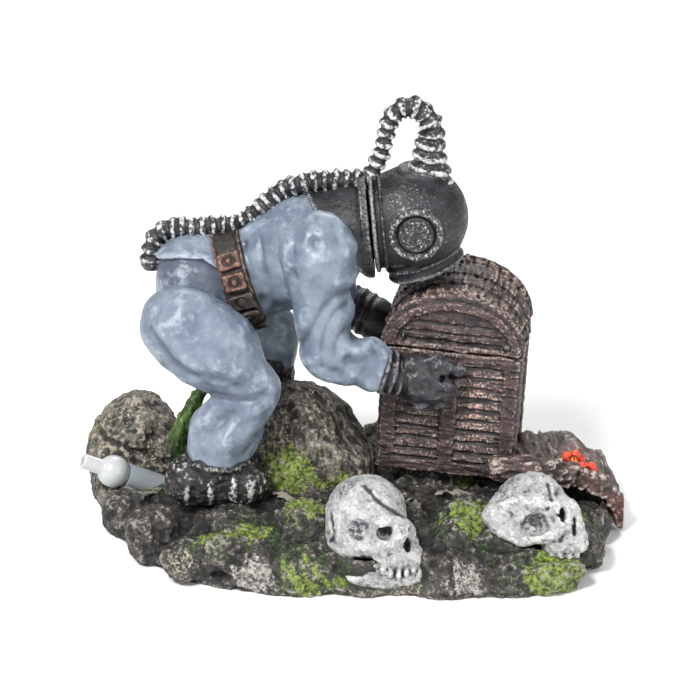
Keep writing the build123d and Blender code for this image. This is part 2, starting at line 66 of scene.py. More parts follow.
def rounded(offsets, radii):
    """Distance to an ellipsoid, or to an elliptic vault when there are two offsets."""
    k0 = np.sqrt(sum((q / r) ** 2 for q, r in zip(offsets, radii)))
    k1 = np.sqrt(sum((q / r**2) ** 2 for q, r in zip(offsets, radii)))
    return k0 * (k0 - 1) / np.maximum(k1, 1e-3)


def smooth_step(value, low, high):
    t = np.clip((value - low) / (high - low), 0, 1)
    return t * t * (3 - 2 * t)


def smooth_route(points, pieces=8):
    """A Catmull-Rom curve through the points, as a finer list of points."""
    p = np.array(points, float)
    p = np.vstack((2 * p[0] - p[1], p, 2 * p[-1] - p[-2]))
    out = []
    for a, b, c, d in zip(p, p[1:], p[2:], p[3:]):
        for t in np.arange(pieces) / pieces:
            bend = (2 * a - 5 * b + 4 * c - d) * t**2 + (3 * b - a - 3 * c + d) * t**3
            out.append(0.5 * (2 * b + (c - a) * t + bend))
    out.append(p[-2])
    return np.array(out)


def unit(v):
    """The vector at length 1."""
    v = np.array(v, float)
    return v / np.linalg.norm(v)


def sample(field, at):
    """The field's value between its grid points."""
    base = np.clip(np.floor(at).astype(int), 0, np.array(field.shape) - 2)
    f = np.clip(at - base, 0, 1)
    total = 0
    for corner in range(8):
        o = np.array((corner & 1, corner >> 1 & 1, corner >> 2 & 1))
        weight = np.prod(np.where(o, f, 1 - f), axis=1)
        i = base + o
        total = total + weight * field[i[:, 0], i[:, 1], i[:, 2]]
    return total


class Clay:
    """A block of signed distances from low to high, in millimetres."""

    def __init__(self, low, high, step, place=None):
        self.step, self.low, self.place = step, np.array(low, float), place
        self.count = np.ceil((np.array(high, float) - self.low) / step).astype(int) + 1
        self.x, self.y, self.z = (
            (start + step * np.arange(count)).astype(np.float32).reshape(shape)
            for start, count, shape in zip(self.low, self.count, ((-1, 1, 1), (1, -1, 1), (1, 1, -1)))
        )
        self.d = np.full(self.count, EMPTY, np.float32)

    def near(self, low, high):
        """The part of the block inside a box, sharing its values."""
        a = np.clip(np.floor((np.array(low) - self.low) / self.step).astype(int), 0, self.count)
        b = np.clip(np.ceil((np.array(high) - self.low) / self.step).astype(int) + 1, 0, self.count)
        if (b - a < 2).any():
            return None
        x, y, z = (slice(*ends) for ends in zip(a, b))
        part = object.__new__(Clay)
        part.step, part.low, part.count = self.step, self.low + a * self.step, b - a
        part.x, part.y, part.z, part.d = self.x[x], self.y[:, y], self.z[:, :, z], self.d[x, y, z]
        return part

    def add(self, other, soft):
        """Joins a shape on, with a fillet."""
        self.d = join(self.d, other, soft)

    def merge(self, other):
        """Joins a shape on, with a sharp edge."""
        self.d = np.minimum(self.d, other)

    def carve(self, other, soft):
        """Takes a shape away."""
        self.d = cut(self.d, other, soft)

    def within(self, other):
        """Keeps only what is inside both."""
        self.d = np.maximum(self.d, other)

    # shapes
    def span(self, a, b):
        """How far along the line from a to b the nearest place is, 0 to 1, and how far away."""
        ab = np.subtract(b, a, dtype=float)
        p = self.turned(a)
        t = np.clip(sum(q * side for q, side in zip(p, ab)) / ab.dot(ab), 0, 1)
        away = sum((q - t * side) ** 2 for q, side in zip(p, ab))
        return t, np.sqrt(away), np.linalg.norm(ab)

    def limb(self, a, b, ra, rb=None):
        t, away, _ = self.span(a, b)
        return away - (ra + t * ((ra if rb is None else rb) - ra))

    def chain(self, stops, *softs):
        """Limbs from one (x, y, z, radius) to the next, joined in turn."""
        shape = None
        for (*a, ra), (*b, rb), soft in zip(stops, stops[1:], (0, *softs)):
            limb = self.limb(a, b, ra, rb)
            shape = limb if shape is None else join(shape, limb, soft)
        return shape

    def turned(self, centre, axes=None):
        """How far each grid point is from a centre, along the block's own axes or others."""
        px, py, pz = self.x - centre[0], self.y - centre[1], self.z - centre[2]
        if axes is None:
            return px, py, pz
        return [px * a[0] + py * a[1] + pz * a[2] for a in axes]

    def egg(self, centre, radii, axes=None):
        return rounded(self.turned(centre, axes), radii)

    def ball(self, centre, radius):
        return self.egg(centre, (radius, radius, radius))

    def block(self, centre, half, rounding=0.3, axes=None):
        q = [np.abs(p) - h + rounding for p, h in zip(self.turned(centre, axes), half)]
        outside = np.sqrt(sum(np.maximum(p, 0) ** 2 for p in q))
        inside = np.minimum(np.maximum(np.maximum(q[0], q[1]), q[2]), 0)
        return outside + inside - rounding

    def about(self, start, axis):
        """How far along an axis, and how far from it."""
        (along,) = self.turned(start, [unit(axis)])
        reach = sum(p**2 for p in self.turned(start))
        return along, np.sqrt(np.maximum(reach - along**2, 0))

    def rod(self, start, axis, length, radius, rounding=0.2):
        along, across = self.about(start, axis)
        qx, qy = across - radius + rounding, np.abs(along - length / 2) - length / 2 + rounding
        outside = np.sqrt(np.maximum(qx, 0) ** 2 + np.maximum(qy, 0) ** 2)
        return np.minimum(np.maximum(qx, qy), 0) + outside - rounding

    def ring(self, centre, axis, radius, thick):
        along, across = self.about(centre, axis)
        return np.sqrt((across - radius) ** 2 + along**2) - thick

    def route(self, points):
        """Distance to a line of points, and how far along it the nearest place is."""
        best, where, run = np.full_like(self.d, 99), np.zeros_like(self.d), 0.0
        for a, b in zip(points[:-1], points[1:]):
            t, away, length = self.span(a, b)
            where = np.where(away < best, run + t * length, where)
            best = np.minimum(away, best)
            run += length
        return best, where

    def ribs(self, run, pitch, wander, seed, size=5, depth=0.36):
        """Flattened waves along a hose, wandering a little."""
        waves = np.cos(run * 2 * PI / pitch + wander * self.noise(size, seed, 1))
        return depth * np.sign(waves) * np.abs(waves) ** 0.6

    # texture
    def noise(self, size, seed, octaves=3, stretch=(1, 1, 1), gain=0.5):
        """Smooth random values from about -1 to 1, in cells of that size."""
        rng = np.random.default_rng(seed)
        total, strength, weight = 0, 1.0, 0.0
        for _ in range(octaves):
            tables = []
            for i in range(3):
                at = np.arange(self.count[i]) * self.step / (size * stretch[i]) + rng.random()
                base = at.astype(int)
                f = at - base
                f = f * f * (3 - 2 * f)
                table = np.zeros((self.count[i], base[-1] + 2), np.float32)
                rows = np.arange(self.count[i])
                table[rows, base], table[rows, base + 1] = 1 - f, f
                tables.append(table)
            cells = rng.uniform(-1, 1, [t.shape[1] for t in tables]).astype(np.float32)
            cells = np.tensordot(tables[0], cells, (1, 0))
            cells = np.tensordot(cells, tables[1], (1, 1))
            cells = np.tensordot(cells, tables[2], (1, 1))
            total = total + strength * cells
            weight += strength
            size, strength = size / 2, strength * gain
        return total / weight

    def pits(self, size, seed, share, depth):
        """Small round holes: share is how much of the surface they take."""
        level = 1 - 2 * share
        self.d += depth * smooth_step(self.noise(size, seed, 1), level, min(level + 0.35, 1))

    def land(self, points, toward=TO_VIEWER, reach=14):
        """Each point moved along a direction until it is on the surface."""
        out = []
        for p in points:
            for t in np.arange(reach, -reach, -self.step):
                spot = p + toward * t
                i = np.round((spot - self.low) / self.step).astype(int)
                if self.d[tuple(np.clip(i, 0, self.count - 1))] < 0:
                    break
            out.append(spot)
        return np.array(out)

    def press(self, points, width, depth, toward=TO_VIEWER):
        """A groove along a line on the surface, or a ridge where depth is negative."""
        line = self.land(points, toward)
        if len(line) > 2:
            line = smooth_route(line, 4)
        part = self.near(line.min(0) - 3 * width, line.max(0) + 3 * width)
        if part is None:
            return
        distance, _ = part.route(line)
        part.d += depth * np.exp(-((distance / width) ** 2))

    def fold(self, points, depth, toward=TO_VIEWER):
        """A cloth fold: a soft crease in a broad hollow, with a swelling beside it."""
        self.press(points, 2.8, depth * 1.2, toward)
        self.press(points, 1, depth * 0.55, toward)
        self.press([(x, y, z + 3) for x, y, z in points], 2.2, -0.7 * depth, toward)

    def folds(self, y, *lines, toward=TO_VIEWER):
        """Cloth folds, each a depth and then its (x, z) points, near the side that y is on."""
        for depth, *line in lines:
            self.fold([(x, y, z) for x, z in line], depth, toward)

    def blurred(self, spread):
        out = self.d
        for i in range(3):
            n = self.count[i]
            reach = np.arange(n)[:, None] - np.arange(n)[None, :]
            table = np.exp(-0.5 * (reach * self.step / spread) ** 2).astype(np.float32)
            table /= table.sum(1, keepdims=True)
            out = np.moveaxis(np.tensordot(table, out, (1, i)), 0, i)
        return out

    # the mesh
    def piece(self, node, material, paint=None, fine=0.5, broad=1.6, small=200, body="ornament"):
        """Meshes the clay, and puts it in the place of a CAD node."""
        band = 3 * self.step
        grid = openvdb.FloatGrid(band)
        grid.copyFromArray(np.ascontiguousarray(np.clip(self.d, -band, band), np.float32))
        points, quads = grid.convertToQuads(isovalue=0)
        points, quads = np.array(points, float), np.array(quads, np.int64)
        # Loose crumbs smaller than small quads are dropped.
        label = np.arange(len(points))
        links = np.vstack((quads[:, :2], quads[:, 1:3], quads[:, 2:]))
        while True:
            low = np.minimum(label[links[:, 0]], label[links[:, 1]])
            new = label.copy()
            np.minimum.at(new, links[:, 0], low)
            np.minimum.at(new, links[:, 1], low)
            new = new[new][new[new]]
            if (new == label).all():
                break
            label = new
        kinds, counts = np.unique(label[quads[:, 0]], return_counts=True)
        keep = np.isin(label[quads[:, 0]], kinds[counts >= small])
        quads = quads[keep]
        used = np.unique(quads)
        fresh = np.zeros(len(points), np.int64)
        fresh[used] = np.arange(len(used))
        points, quads = points[used], fresh[quads]
        local = world = points * self.step + self.low
        if self.place is not None:
            world = local @ self.place[:3, :3].T + self.place[:3, 3]
        a, b, c = world[quads[:, 0]], world[quads[:, 1]], world[quads[:, 2]]
        if np.einsum("ij,ij->i", a, np.cross(b, c)).sum() < 0:
            quads = quads[:, ::-1]
        mesh = bpy.data.meshes.new(node + "_skin")
        mesh.vertices.add(len(world))
        mesh.vertices.foreach_set("co", (world * MM).astype(np.float32).ravel())
        mesh.loops.add(4 * len(quads))
        mesh.loops.foreach_set("vertex_index", quads.astype(np.int32).ravel())
        mesh.polygons.add(len(quads))
        mesh.polygons.foreach_set("loop_start", np.arange(len(quads), dtype=np.int32) * 4)
        mesh.polygons.foreach_set("use_smooth", np.ones(len(quads), bool))
        mesh.update(calc_edges=True)
        mesh.validate()
        for measure, spread in (("fine", fine), ("broad", broad)):
            bend = sample(self.blurred(spread), points) / spread
            values = mesh.attributes.new(measure, "FLOAT", "POINT")
            values.data.foreach_set("value", bend.astype(np.float32))
        tint = np.zeros((len(world), 4), np.float32)
        if paint is not None:
            paint(local, world, tint)
        mesh.attributes.new("tint", "FLOAT_COLOR", "POINT").data.foreach_set("color", tint.ravel())
        settle(mesh, node, material, body)


def put(name, data, place=(0, 0, 0), turn=(0, 0, 0)):
    """An object in the scene."""
    piece = bpy.data.objects.new(name, data)
    bpy.context.scene.collection.objects.link(piece)
    piece.location, piece.rotation_euler = place, turn
    return piece


def settle(mesh, node, material, body="ornament"):
    """Puts a finished mesh on its body, in place of its CAD node."""
    mesh.materials.append(material)
    piece = put(node + "_skin", mesh)
    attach(piece, body)
    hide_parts(node)


# ---- paint --------------------------------------------------------------------------------
def rgb(r, g, b):
    """An sRGB colour, given from 0 to 255, as linear."""
    lin = [c / 255 / 12.92 if c <= 10 else ((c / 255 + 0.055) / 1.055) ** 2.4 for c in (r, g, b)]
    return (*lin, 1)


class Paint:
    """Builds one node material."""

    def __init__(self, name):
        self.material = bpy.data.materials.new(name)
        self.material.use_nodes = True
        self.tree = self.material.node_tree
        self.shader = self.tree.nodes["Principled BSDF"]
        self.coords = self.tree.nodes.new("ShaderNodeTexCoord").outputs["Object"]

    def fill(self, node, inputs):
        """Links each input to a socket, or sets it to a number or colour."""
        for socket, value in inputs.items():
            if isinstance(value, bpy.types.NodeSocket):
                self.tree.links.new(value, node.inputs[socket])
            else:
                node.inputs[socket].default_value = value

    def node(self, kind, inputs, output=0, **settings):
        """Adds a node and gives one of its outputs."""
        node = self.tree.nodes.new("ShaderNode" + kind)
        for setting, value in settings.items():
            setattr(node, setting, value)
        self.fill(node, inputs)
        return node.outputs[output]

    def noise(self, size, detail=3, rough=0.55):
        """A noise whose features are that many millimetres across."""
        inputs = {"Vector": self.coords, "Scale": 1000 / size, "Detail": detail, "Roughness": rough}
        return self.node("TexNoise", inputs, "Fac")

    def mesh_value(self, name, output="Fac"):
        return self.node("Attribute", {}, output, attribute_name=name)

    def math(self, kind, a, b=0):
        return self.node("Math", {0: a, 1: b}, operation=kind)

    def span(self, value, low, high, to_low=0, to_high=1):
        limits = {"From Min": low, "From Max": high, "To Min": to_low, "To Max": to_high}
        return self.node("MapRange", {"Value": value, **limits}, interpolation_type="SMOOTHSTEP")

    def mix(self, share, a, b):
        return self.node("Mix", {"Factor": share, "A": a, "B": b}, "Result", data_type="RGBA")

    def bump(self, height, distance):
        height = {"Strength": 1, "Distance": distance * MM, "Height": height}
        self.fill(self.shader, {"Normal": self.node("Bump", height)})


def resin(
    name, base, second, wash, brush, grain=2, brush_at=(0.10, 0.22), brush_noise=0.22,
    wash_at=(0.02, 0.14), wash_amount=0.8, rough=(0.5, 0.75), brush_size=0.8, brush_amount=0.9,
    bump=0.12, bump_size=0.7, metallic=0, broad_share=0.25, smooth_tint=False, specks=0,
):
    """Painted resin: a mottled base, dark wash in the hollows and dry-brushed high places."""
    base, second, wash, brush = (rgb(*shade) for shade in (base, second, wash, brush))
    p = Paint(name)
    colour = p.mix(p.span(p.noise(grain * 3, 4, 0.6), 0.36, 0.64), base, second)
    both = p.math("ADD", p.mesh_value("fine"), p.math("MULTIPLY", p.mesh_value("broad"), broad_share))
    speck = p.math("SUBTRACT", p.noise(brush_size, 4, 0.65), 0.5)
    low = p.math("ADD", p.math("MULTIPLY", both, -1), p.math("MULTIPLY", speck, 0.3))
    colour = p.mix(p.span(low, *wash_at, 0, wash_amount), colour, wash)
    tint, alpha = p.mesh_value("tint", "Color"), p.mesh_value("tint", "Alpha")
    if smooth_tint:
        colour = p.mix(alpha, colour, tint)
    else:
        share = p.math("ADD", alpha, p.math("MULTIPLY", speck, 1.7))
        shade = p.span(p.noise(1.1, 4, 0.65), 0.34, 0.66, 0.12, 2.1)
        tint = p.node("VectorMath", {0: tint, "Scale": shade}, operation="SCALE")
        colour = p.mix(p.span(share, 0.34, 0.72), colour, tint)
    high = p.math("ADD", both, p.math("MULTIPLY", speck, brush_noise * 4))
    colour = p.mix(p.span(high, *brush_at, 0, brush_amount), colour, brush)
    if specks:
        dots = p.span(p.noise(1.3, 5, 0.8), 0.56 + specks, 0.62 + specks, 0, 0.85)
        colour = p.mix(dots, colour, wash)
    gloss = p.span(p.noise(1.6, 3), 0.3, 0.7, *rough)
    p.fill(p.shader, {"Base Color": colour, "Roughness": gloss, "Metallic": metallic})
    p.bump(p.noise(bump_size, 4, 0.6), bump)
    return p.material


ROCK = resin(
    "painted_rock", (62, 58, 55), (36, 34, 33), (11, 10, 10), (150, 144, 134), grain=1.5,
    brush_at=(0.2, 0.78), brush_noise=0.62, brush_size=0.7, brush_amount=0.85,
    wash_at=(-0.06, 0.16), wash_amount=0.88, rough=(0.5, 0.8), bump=0.6, bump_size=0.8,
    broad_share=0.3,
)
BOULDER = resin(
    "painted_boulder", (102, 97, 90), (54, 51, 47), (13, 12, 12), (170, 160, 142), grain=1.7,
    brush_at=(0.1, 0.62), brush_noise=0.62, brush_size=0.7, brush_amount=0.85,
    wash_at=(-0.06, 0.16), rough=(0.5, 0.8), bump=0.6, bump_size=0.8, broad_share=0.3,
)
SUIT = resin(
    "suit_paint", (118, 130, 144), (94, 105, 121), (52, 55, 68), (168, 178, 190), grain=2.6,
    brush_at=(0.1, 0.62), brush_noise=0.34, brush_amount=0.6, wash_at=(0.08, 0.62), wash_amount=0.6,
    rough=(0.3, 0.46), brush_size=1.6, bump=0.16, bump_size=1.3, broad_share=0.55, smooth_tint=True,
    specks=0.14,
)
GUNMETAL = resin(
    "helmet_paint", (46, 47, 50), (28, 29, 32), (8, 8, 9), (172, 174, 177), grain=1.4,
    brush_at=(0.26, 0.85), brush_noise=0.5, brush_size=0.6, brush_amount=0.7, rough=(0.34, 0.52),
    bump=0.34, bump_size=0.9, metallic=0.2,
)
RUBBER = resin(
    "hose_paint", (46, 46, 48), (22, 22, 24), (8, 8, 9), (204, 205, 207), grain=1.2,
    brush_at=(0.18, 0.72), brush_noise=0.6, brush_size=0.9, brush_amount=0.85, wash_at=(0.1, 0.5),
    rough=(0.35, 0.55), bump=0.16, bump_size=0.6,
)
GLOVE = resin(
    "glove_paint", (48, 46, 51), (27, 26, 30), (6, 6, 7), (134, 131, 140), grain=1.2,
    brush_at=(0.2, 0.72), brush_noise=0.4, brush_amount=0.7, rough=(0.34, 0.5), bump=0.14,
    bump_size=0.8,
)
BOOT = resin(
    "boot_paint", (40, 39, 40), (20, 20, 21), (5, 5, 5), (176, 174, 170), grain=1.4,
    brush_at=(0.2, 0.75), brush_noise=0.5, brush_amount=0.85, rough=(0.4, 0.65), bump=0.26,
    bump_size=0.7,
)
BRONZE = resin(
    "weight_paint", (96, 66, 56), (62, 43, 38), (16, 12, 10), (160, 122, 106), grain=1,
    brush_at=(0.24, 0.8), brush_noise=0.4, brush_amount=0.8, rough=(0.35, 0.55), bump=0.2,
    bump_size=0.5, metallic=0.25,
)
POUCH = resin(
    "pouch_paint", (48, 38, 34), (28, 23, 22), (9, 8, 8), (132, 112, 98), grain=1,
    brush_at=(0.4, 0.9), brush_noise=0.34, brush_amount=0.75, rough=(0.4, 0.6), bump=0.24,
    bump_size=0.7,
)
WOOD = resin(
    "chest_paint", (72, 56, 55), (38, 31, 32), (9, 8, 8), (170, 150, 140), grain=1,
    brush_at=(0.24, 0.85), brush_noise=0.6, brush_size=0.6, brush_amount=0.9, rough=(0.42, 0.62),
    bump=0.28, bump_size=0.7,
)
BONE = resin(
    "bone_paint", (182, 182, 180), (146, 148, 150), (30, 31, 35), (224, 222, 217), grain=0.9,
    brush_at=(0.12, 0.7), brush_noise=0.5, brush_size=0.6, wash_at=(0.02, 0.36), wash_amount=0.9,
    rough=(0.45, 0.7), bump=0.5, bump_size=0.7, specks=0.02,
)
DRIFTWOOD = resin(
    "driftwood_paint", (84, 60, 56), (42, 34, 33), (8, 7, 7), (194, 180, 172), grain=1.4,
    brush_at=(0.2, 0.72), brush_noise=0.55, brush_amount=0.8, rough=(0.4, 0.62), bump=0.3,
    bump_size=0.7,
)
CORAL = resin(
    "coral_paint", (206, 74, 46), (176, 48, 32), (80, 18, 12), (232, 134, 84), grain=1.2,
    brush_at=(0.5, 1), brush_noise=0.1, rough=(0.35, 0.5), bump=0.1, bump_size=0.7,
)
WEED = resin(
    "weed_paint", (74, 100, 42), (44, 64, 30), (12, 22, 10), (136, 164, 84), grain=1.2,
    brush_at=(0.25, 0.8), brush_noise=0.5, rough=(0.4, 0.55), bump=0.14, bump_size=0.8,
)


def plain(name, colour, second, rough, size, metallic=0, through=0):
    """A simpler procedural finish for plastic and steel."""
    p = Paint(name)
    p.fill(p.shader, {
        "Base Color": p.mix(p.noise(size, 3), rgb(*colour), rgb(*second)),
        "Roughness": p.span(p.noise(size, 2), 0.3, 0.7, rough * 0.85, rough * 1.15),
        "Metallic": metallic,
        "Subsurface Weight": through,
        "Subsurface Scale": 2 * MM,
    })
    return p.material


PLASTIC = plain("inlet_plastic", (188, 190, 190), (172, 175, 177), 0.3, 3, through=0.3)
TUBING = plain("tube_plastic", (160, 167, 172), (142, 149, 154), 0.22, 4, through=0.3)
STEEL = plain("pin_steel", (150, 150, 152), (110, 110, 112), 0.35, 0.8, metallic=1)

MOSS = (96, 112, 44)
MOSS_DARK = (50, 70, 32)
CREAM = (150, 143, 126)
STONE = (136, 133, 128)
# Blue-grey painted shade, used mostly in the skulls' sockets, cracks and under the jaws.
SHADE_GREY = (74, 77, 84)
LICHEN = (96, 104, 66)


def patch(world, tint, centre, reach, colour, soft=0.5, strength=1, flat=(1, 1, 1)):
    """Adds a soft-edged spot of another colour about a point."""
    offset = (world - centre) * flat
    x, y, z = world.T
    wave = np.sin(x * 0.9 + z * 0.8) + np.sin(x * 1.9 - y * 1.3 + z)
    away = np.linalg.norm(offset, axis=1) / reach + 0.16 * wave
    share = strength * (1 - smooth_step(away, 1 - soft, 1 + soft))
    stronger = share > tint[:, 3]
    tint[stronger, :3] = rgb(*colour)[:3]
    tint[stronger, 3] = share[stronger]


def spots(*rows):
    """Paint that adds these patches."""

    def paint(local, world, tint):
        for row in rows:
            patch(world, tint, *row)

    return paint


SKULL_SEAT = (4, -32, 13.5), (9, 8, 9)


def build_rocks():
    """The base, the boulders and the stones, with moss on them."""
    outline = [
        (-66, 10), (-60, -9), (-52, -23), (-40, -35), (-24, -42), (-4, -43.6), (18, -44), (38, -43.6),
        (53, -40), (60, -26), (63, -8), (62, 10), (52, 26), (30, 35), (0, 37.5), (-30, 36.5), (-54, 30),
    ]
    c = Clay((-68, -46, -1.2), (66, 42, 20), 0.5)
    angle = np.arctan2(c.y + 2, c.x + 1)
    reach = np.sqrt((c.x + 1) ** 2 + (c.y + 2) ** 2)
    x, y = np.array(outline, float).T + [[1], [2]]
    order = np.argsort(np.arctan2(y, x))
    turns, far = np.arctan2(y, x)[order], np.hypot(x, y)[order]
    edge = np.interp(angle, np.hstack((turns - 2 * PI, turns, turns + 2 * PI)), np.tile(far, 3))
    heights = (-1, 0, 2.2, 5.4, 8.6, 11.2, 12.8, 14.5)
    share = np.interp(c.z, heights, (0.95, 0.965, 0.985, 0.94, 0.84, 0.70, 0.50, 0.3))
    side = (reach - edge * share) * 0.8
    c.d = np.maximum(side, c.z - 12.4)
    steepness = np.sqrt(sum(slope**2 for slope in np.gradient(c.d, c.step)))
    c.d /= np.maximum(steepness, 1)
    lumps = [
        (-48.5, -24, 8, 7, 6, 7.5), (-38, -33, 6, 8, 5.5, 5.5), (-31, -35, 8.6, 5.6, 5, 5),
        (-22, -37, 4.6, 7.5, 6, 5.6), (-9, -37, 5, 8, 6.5, 6.5), (-12, -26, 10, 8, 7, 6.6),
        (24, -30, 8, 7.6, 7, 6), (28, -38, 4.8, 6.5, 5.5, 5.5), (16, -38, 3.5, 5, 4.5, 4.2),
        (48, -36, 4, 9, 6, 5.6), (38, -38, 4, 6, 5, 4.6), (57, -26, 5, 6, 8, 6),
        (30, -22, 10, 8, 6, 5.4), (-56, -8, 5, 6, 8, 6), (-60, 8, 5, 6, 8, 6), (-50, 28, 6, 8, 7, 7),
        (-34, 30, 6, 9, 6, 8), (-12, 32, 6, 10, 5, 7.5), (10, 32, 6, 9, 5, 8), (30, 30, 6, 9, 7, 8),
        (48, 24, 6, 8, 8, 7), (58, 6, 5, 6, 9, 6), (60, -10, 4, 5, 7, 5), (40, 18, 9, 9, 8, 6.5),
        (14, 22, 9, 10, 8, 6), (38, -19, 9, 8, 6, 5), (-34, 22, 9, 9, 8, 7), (-30, -20, 8.5, 9, 7, 5),
        (14, -22, 8, 7, 6, 6), (52, -16, 8, 6, 6, 5.4),
    ]
    turn = np.random.default_rng(7)
    for x, y, z, a, b, h in lumps:
        w = turn.uniform(-0.5, 0.5)
        axes = ((math.cos(w), math.sin(w), 0), (-math.sin(w), math.cos(w), 0), (0, 0, 1))
        middle, room = np.array((x, y, z)), np.array((a + 6, b + 8, h + 5))
        part = c.near(middle - room, middle + room)
        part.d[:] = join(part.d, part.egg(middle, (a, b, h), axes), 1.6)
    c.d += 2.2 * c.noise(9, 11, 3) + 1.9 * np.abs(c.noise(5.2, 12, 4, gain=0.6)) - 0.5
    c.d += 0.62 * c.noise(1.7, 13, 3, gain=0.8)
    c.pits(1.8, 15, 0.15, 0.8)
    c.pits(1.2, 16, 0.12, 0.55)
    moss = [
        (-11, -39, 4, 8.5), (-11, -25, 15, 7), (-33, -35, 12, 6), (49, -41, 4, 10),
        (29, -27, 13, 8), (-24, -30, 11, 6), (56, -18, 8, 5.5), (20, -40, 2, 3.4),
        (-2, -42, 4, 3), (60, 4, 9, 5), (-40, 33, 10, 9), (8, 36, 8, 8), (38, 30, 9, 8),
        (-58, 22, 8, 6), (-50, -4, 9, 4),
    ]
    flock = np.zeros_like(c.d)
    for x, y, z, r in moss:
        away = np.sqrt((c.x - x) ** 2 + (c.y - y) ** 2 + (1.2 * (c.z - z)) ** 2) / r
        flock = np.maximum(flock, 1 - smooth_step(away, 0.55, 1.2))
    tuft = smooth_step(flock + 0.55 * c.noise(1.6, 17, 2), 0.3, 0.7)
    c.d -= tuft * (0.45 + 0.35 * c.noise(0.9, 18, 1))
    c.within(-c.z)
    for seat in (
        c.egg(*SKULL_SEAT),
        c.egg((45, -28, 13.5), (9, 7.5, 9)),
        c.limb((1, -43, 6.5), (14.5, -43, 6.5), 4.6),
        c.limb((47, -38, 10.5), (54, -37, 10.5), 3.4),
    ):
        c.carve(seat, 1)
    stones = spots(
        ((-23, -42, 5), 5.5, STONE, 0.4, 0.66), ((28, -43, 5), 5, STONE, 0.4, 0.6),
        ((-40, -38, 7), 4, CREAM, 0.4, 0.5), ((15, -42, 3), 3.5, CREAM, 0.4, 0.45),
    )

    def colours(local, world, tint):
        for x, y, z, r in moss:
            inner = MOSS if (x + y) % 2 < 1 else MOSS_DARK
            patch(world, tint, (x, y, z), r * 1.45, MOSS_DARK, 0.6, 0.52, (1, 1, 1.15))
            patch(world, tint, (x, y, z), r * 0.85, inner, 0.6, 0.8, (1, 1, 1.15))
        stones(local, world, tint)

    c.piece("base_rock", ROCK, colours, 0.55, 2.2)

    c = Clay((-34, -12, 4), (8, 28, 36), 0.42)
    c.d = c.limb((-12.6, 8, 8), (-12.6, 8, 15.6), 17.4)
    c.add(c.egg((-13.6, 7, 24), (8.6, 10.5, 9.2)), 6)
    c.add(c.egg((-3, 2, 14), (9.5, 9.5, 9.6)), 4)
    c.add(c.egg((-20, -0.5, 13), (9, 8.6, 8.6)), 3)
    c.d += 1.8 * c.noise(9, 21, 3) + 1.2 * np.abs(c.noise(5, 22, 4, (0.8, 0.8, 1.5), 0.6)) - 0.2
    c.d += 0.5 * c.noise(1.4, 26, 3, (0.7, 0.7, 1.7), 0.8)
    c.pits(1.5, 25, 0.13, 0.6)
    c.carve(c.egg(*SKULL_SEAT), 1)
    colours = spots(
        ((-16, -9, 17), 7.5, MOSS, 0.5, 0.85), ((-22, -8, 14), 5, MOSS_DARK, 0.5, 0.85),
        ((-4, -8, 12), 5, MOSS, 0.5, 0.85), ((-8, 26, 16), 9, MOSS, 0.5, 0.85),
        ((4, 14, 20), 4, MOSS, 0.5, 0.85), ((-20, -5, 24), 8, CREAM, 0.6, 0.5, (1.3, 1, 0.6)),
    )
    c.piece("centre_boulder", BOULDER, colours, 0.5, 2)

    c = Clay((-69.5, -4, -0.6), (-42, 34, 32), 0.42)
    c.d = c.limb((-57, 12.9, 13), (-56.6, 19, 13.4), 11.6)
    c.add(c.egg((-55, 14.5, 19), (9, 11.5, 9.6)), 4)
    c.add(c.egg((-59, 6, 8), (8, 9, 8)), 2.4)
    c.add(c.egg((-50.5, 10, 14), (7, 9, 9)), 2.4)
    c.d += 1.9 * c.noise(8, 31, 3) + 1.4 * np.abs(c.noise(5, 32, 4, gain=0.6)) - 0.3
    ledge = c.z + 0.3 * c.x + 2.6 * c.noise(9, 33, 3)
    c.d += 1.0 * np.exp(-(((ledge - 1.4) / 0.9) ** 2))
    c.d += 0.55 * c.noise(1.6, 35, 3, gain=0.8)
    c.pits(1.4, 34, 0.14, 0.65)
    c.within(-c.z)
    c.carve(c.limb(inlet(14), inlet(-16), 3.6), 0.8)
    colours = spots(
        ((-57, 8, 30), 6, CREAM, 0.6, 0.5, (1, 0.8, 1.1)), ((-66, 12, 20), 5, LICHEN, 0.6, 0.6),
        ((-61, 2, 24), 4, LICHEN, 0.6, 0.5), ((-50, 3, 17), 6, CREAM, 0.6, 0.42),
        ((-62, 28, 18), 7, MOSS_DARK, 0.6, 0.7),
    )
    c.piece("left_boulder", BOULDER, colours, 0.5, 2)

    c = Clay((8, -12, 6.5), (42, 22, 20), 0.4)
    c.d = c.limb((17.3, 2, 10.5), (26.7, 2, 10.5), 7.4)
    c.add(c.limb((31, 9, 9.5), (31, 11, 9.5), 8), 3)
    c.d += 1.0 * c.noise(5, 41, 3) + 2.0 * np.abs(c.noise(3, 42, 3))
    c.pits(1.3, 43, 0.12, 0.6)
    c.within(7.6 - c.z)
    colours = spots(((20, -5, 14), 4, STONE, 0.6, 0.4), ((30, -2, 12), 5, MOSS, 0.6, 0.7))
    c.piece("chest_rock", ROCK, colours, 0.6, 1.8)


INLET_POINT = np.array((-48.6, 0, 9.2))
INLET_AXIS = unit((-0.84, -0.28, 0.46))


def inlet(distance):
    """A point on the air inlet's axis, that far out from the rock."""
    return INLET_POINT + INLET_AXIS * distance


HEM = ((-50, -46.1, -41.9, -36.1, -31.4, -28), (70.6, 72.1, 73.2, 72.9, 69.8, 66))
WAIST, CHEST = (-25.5, FIGURE_Y, 65.2), (-11.5, FIGURE_Y, 71.6)


def suit_piece(c, node, seed, paint=None, broad=2.6):
    """The last texture of each suit casting, and its mesh."""
    c.d += 0.28 * c.noise(2.8, seed + 2, 2)
    c.pits(1.1, seed + 7, 0.02, 0.6)
    c.piece(node, SUIT, paint, 0.8, broad)


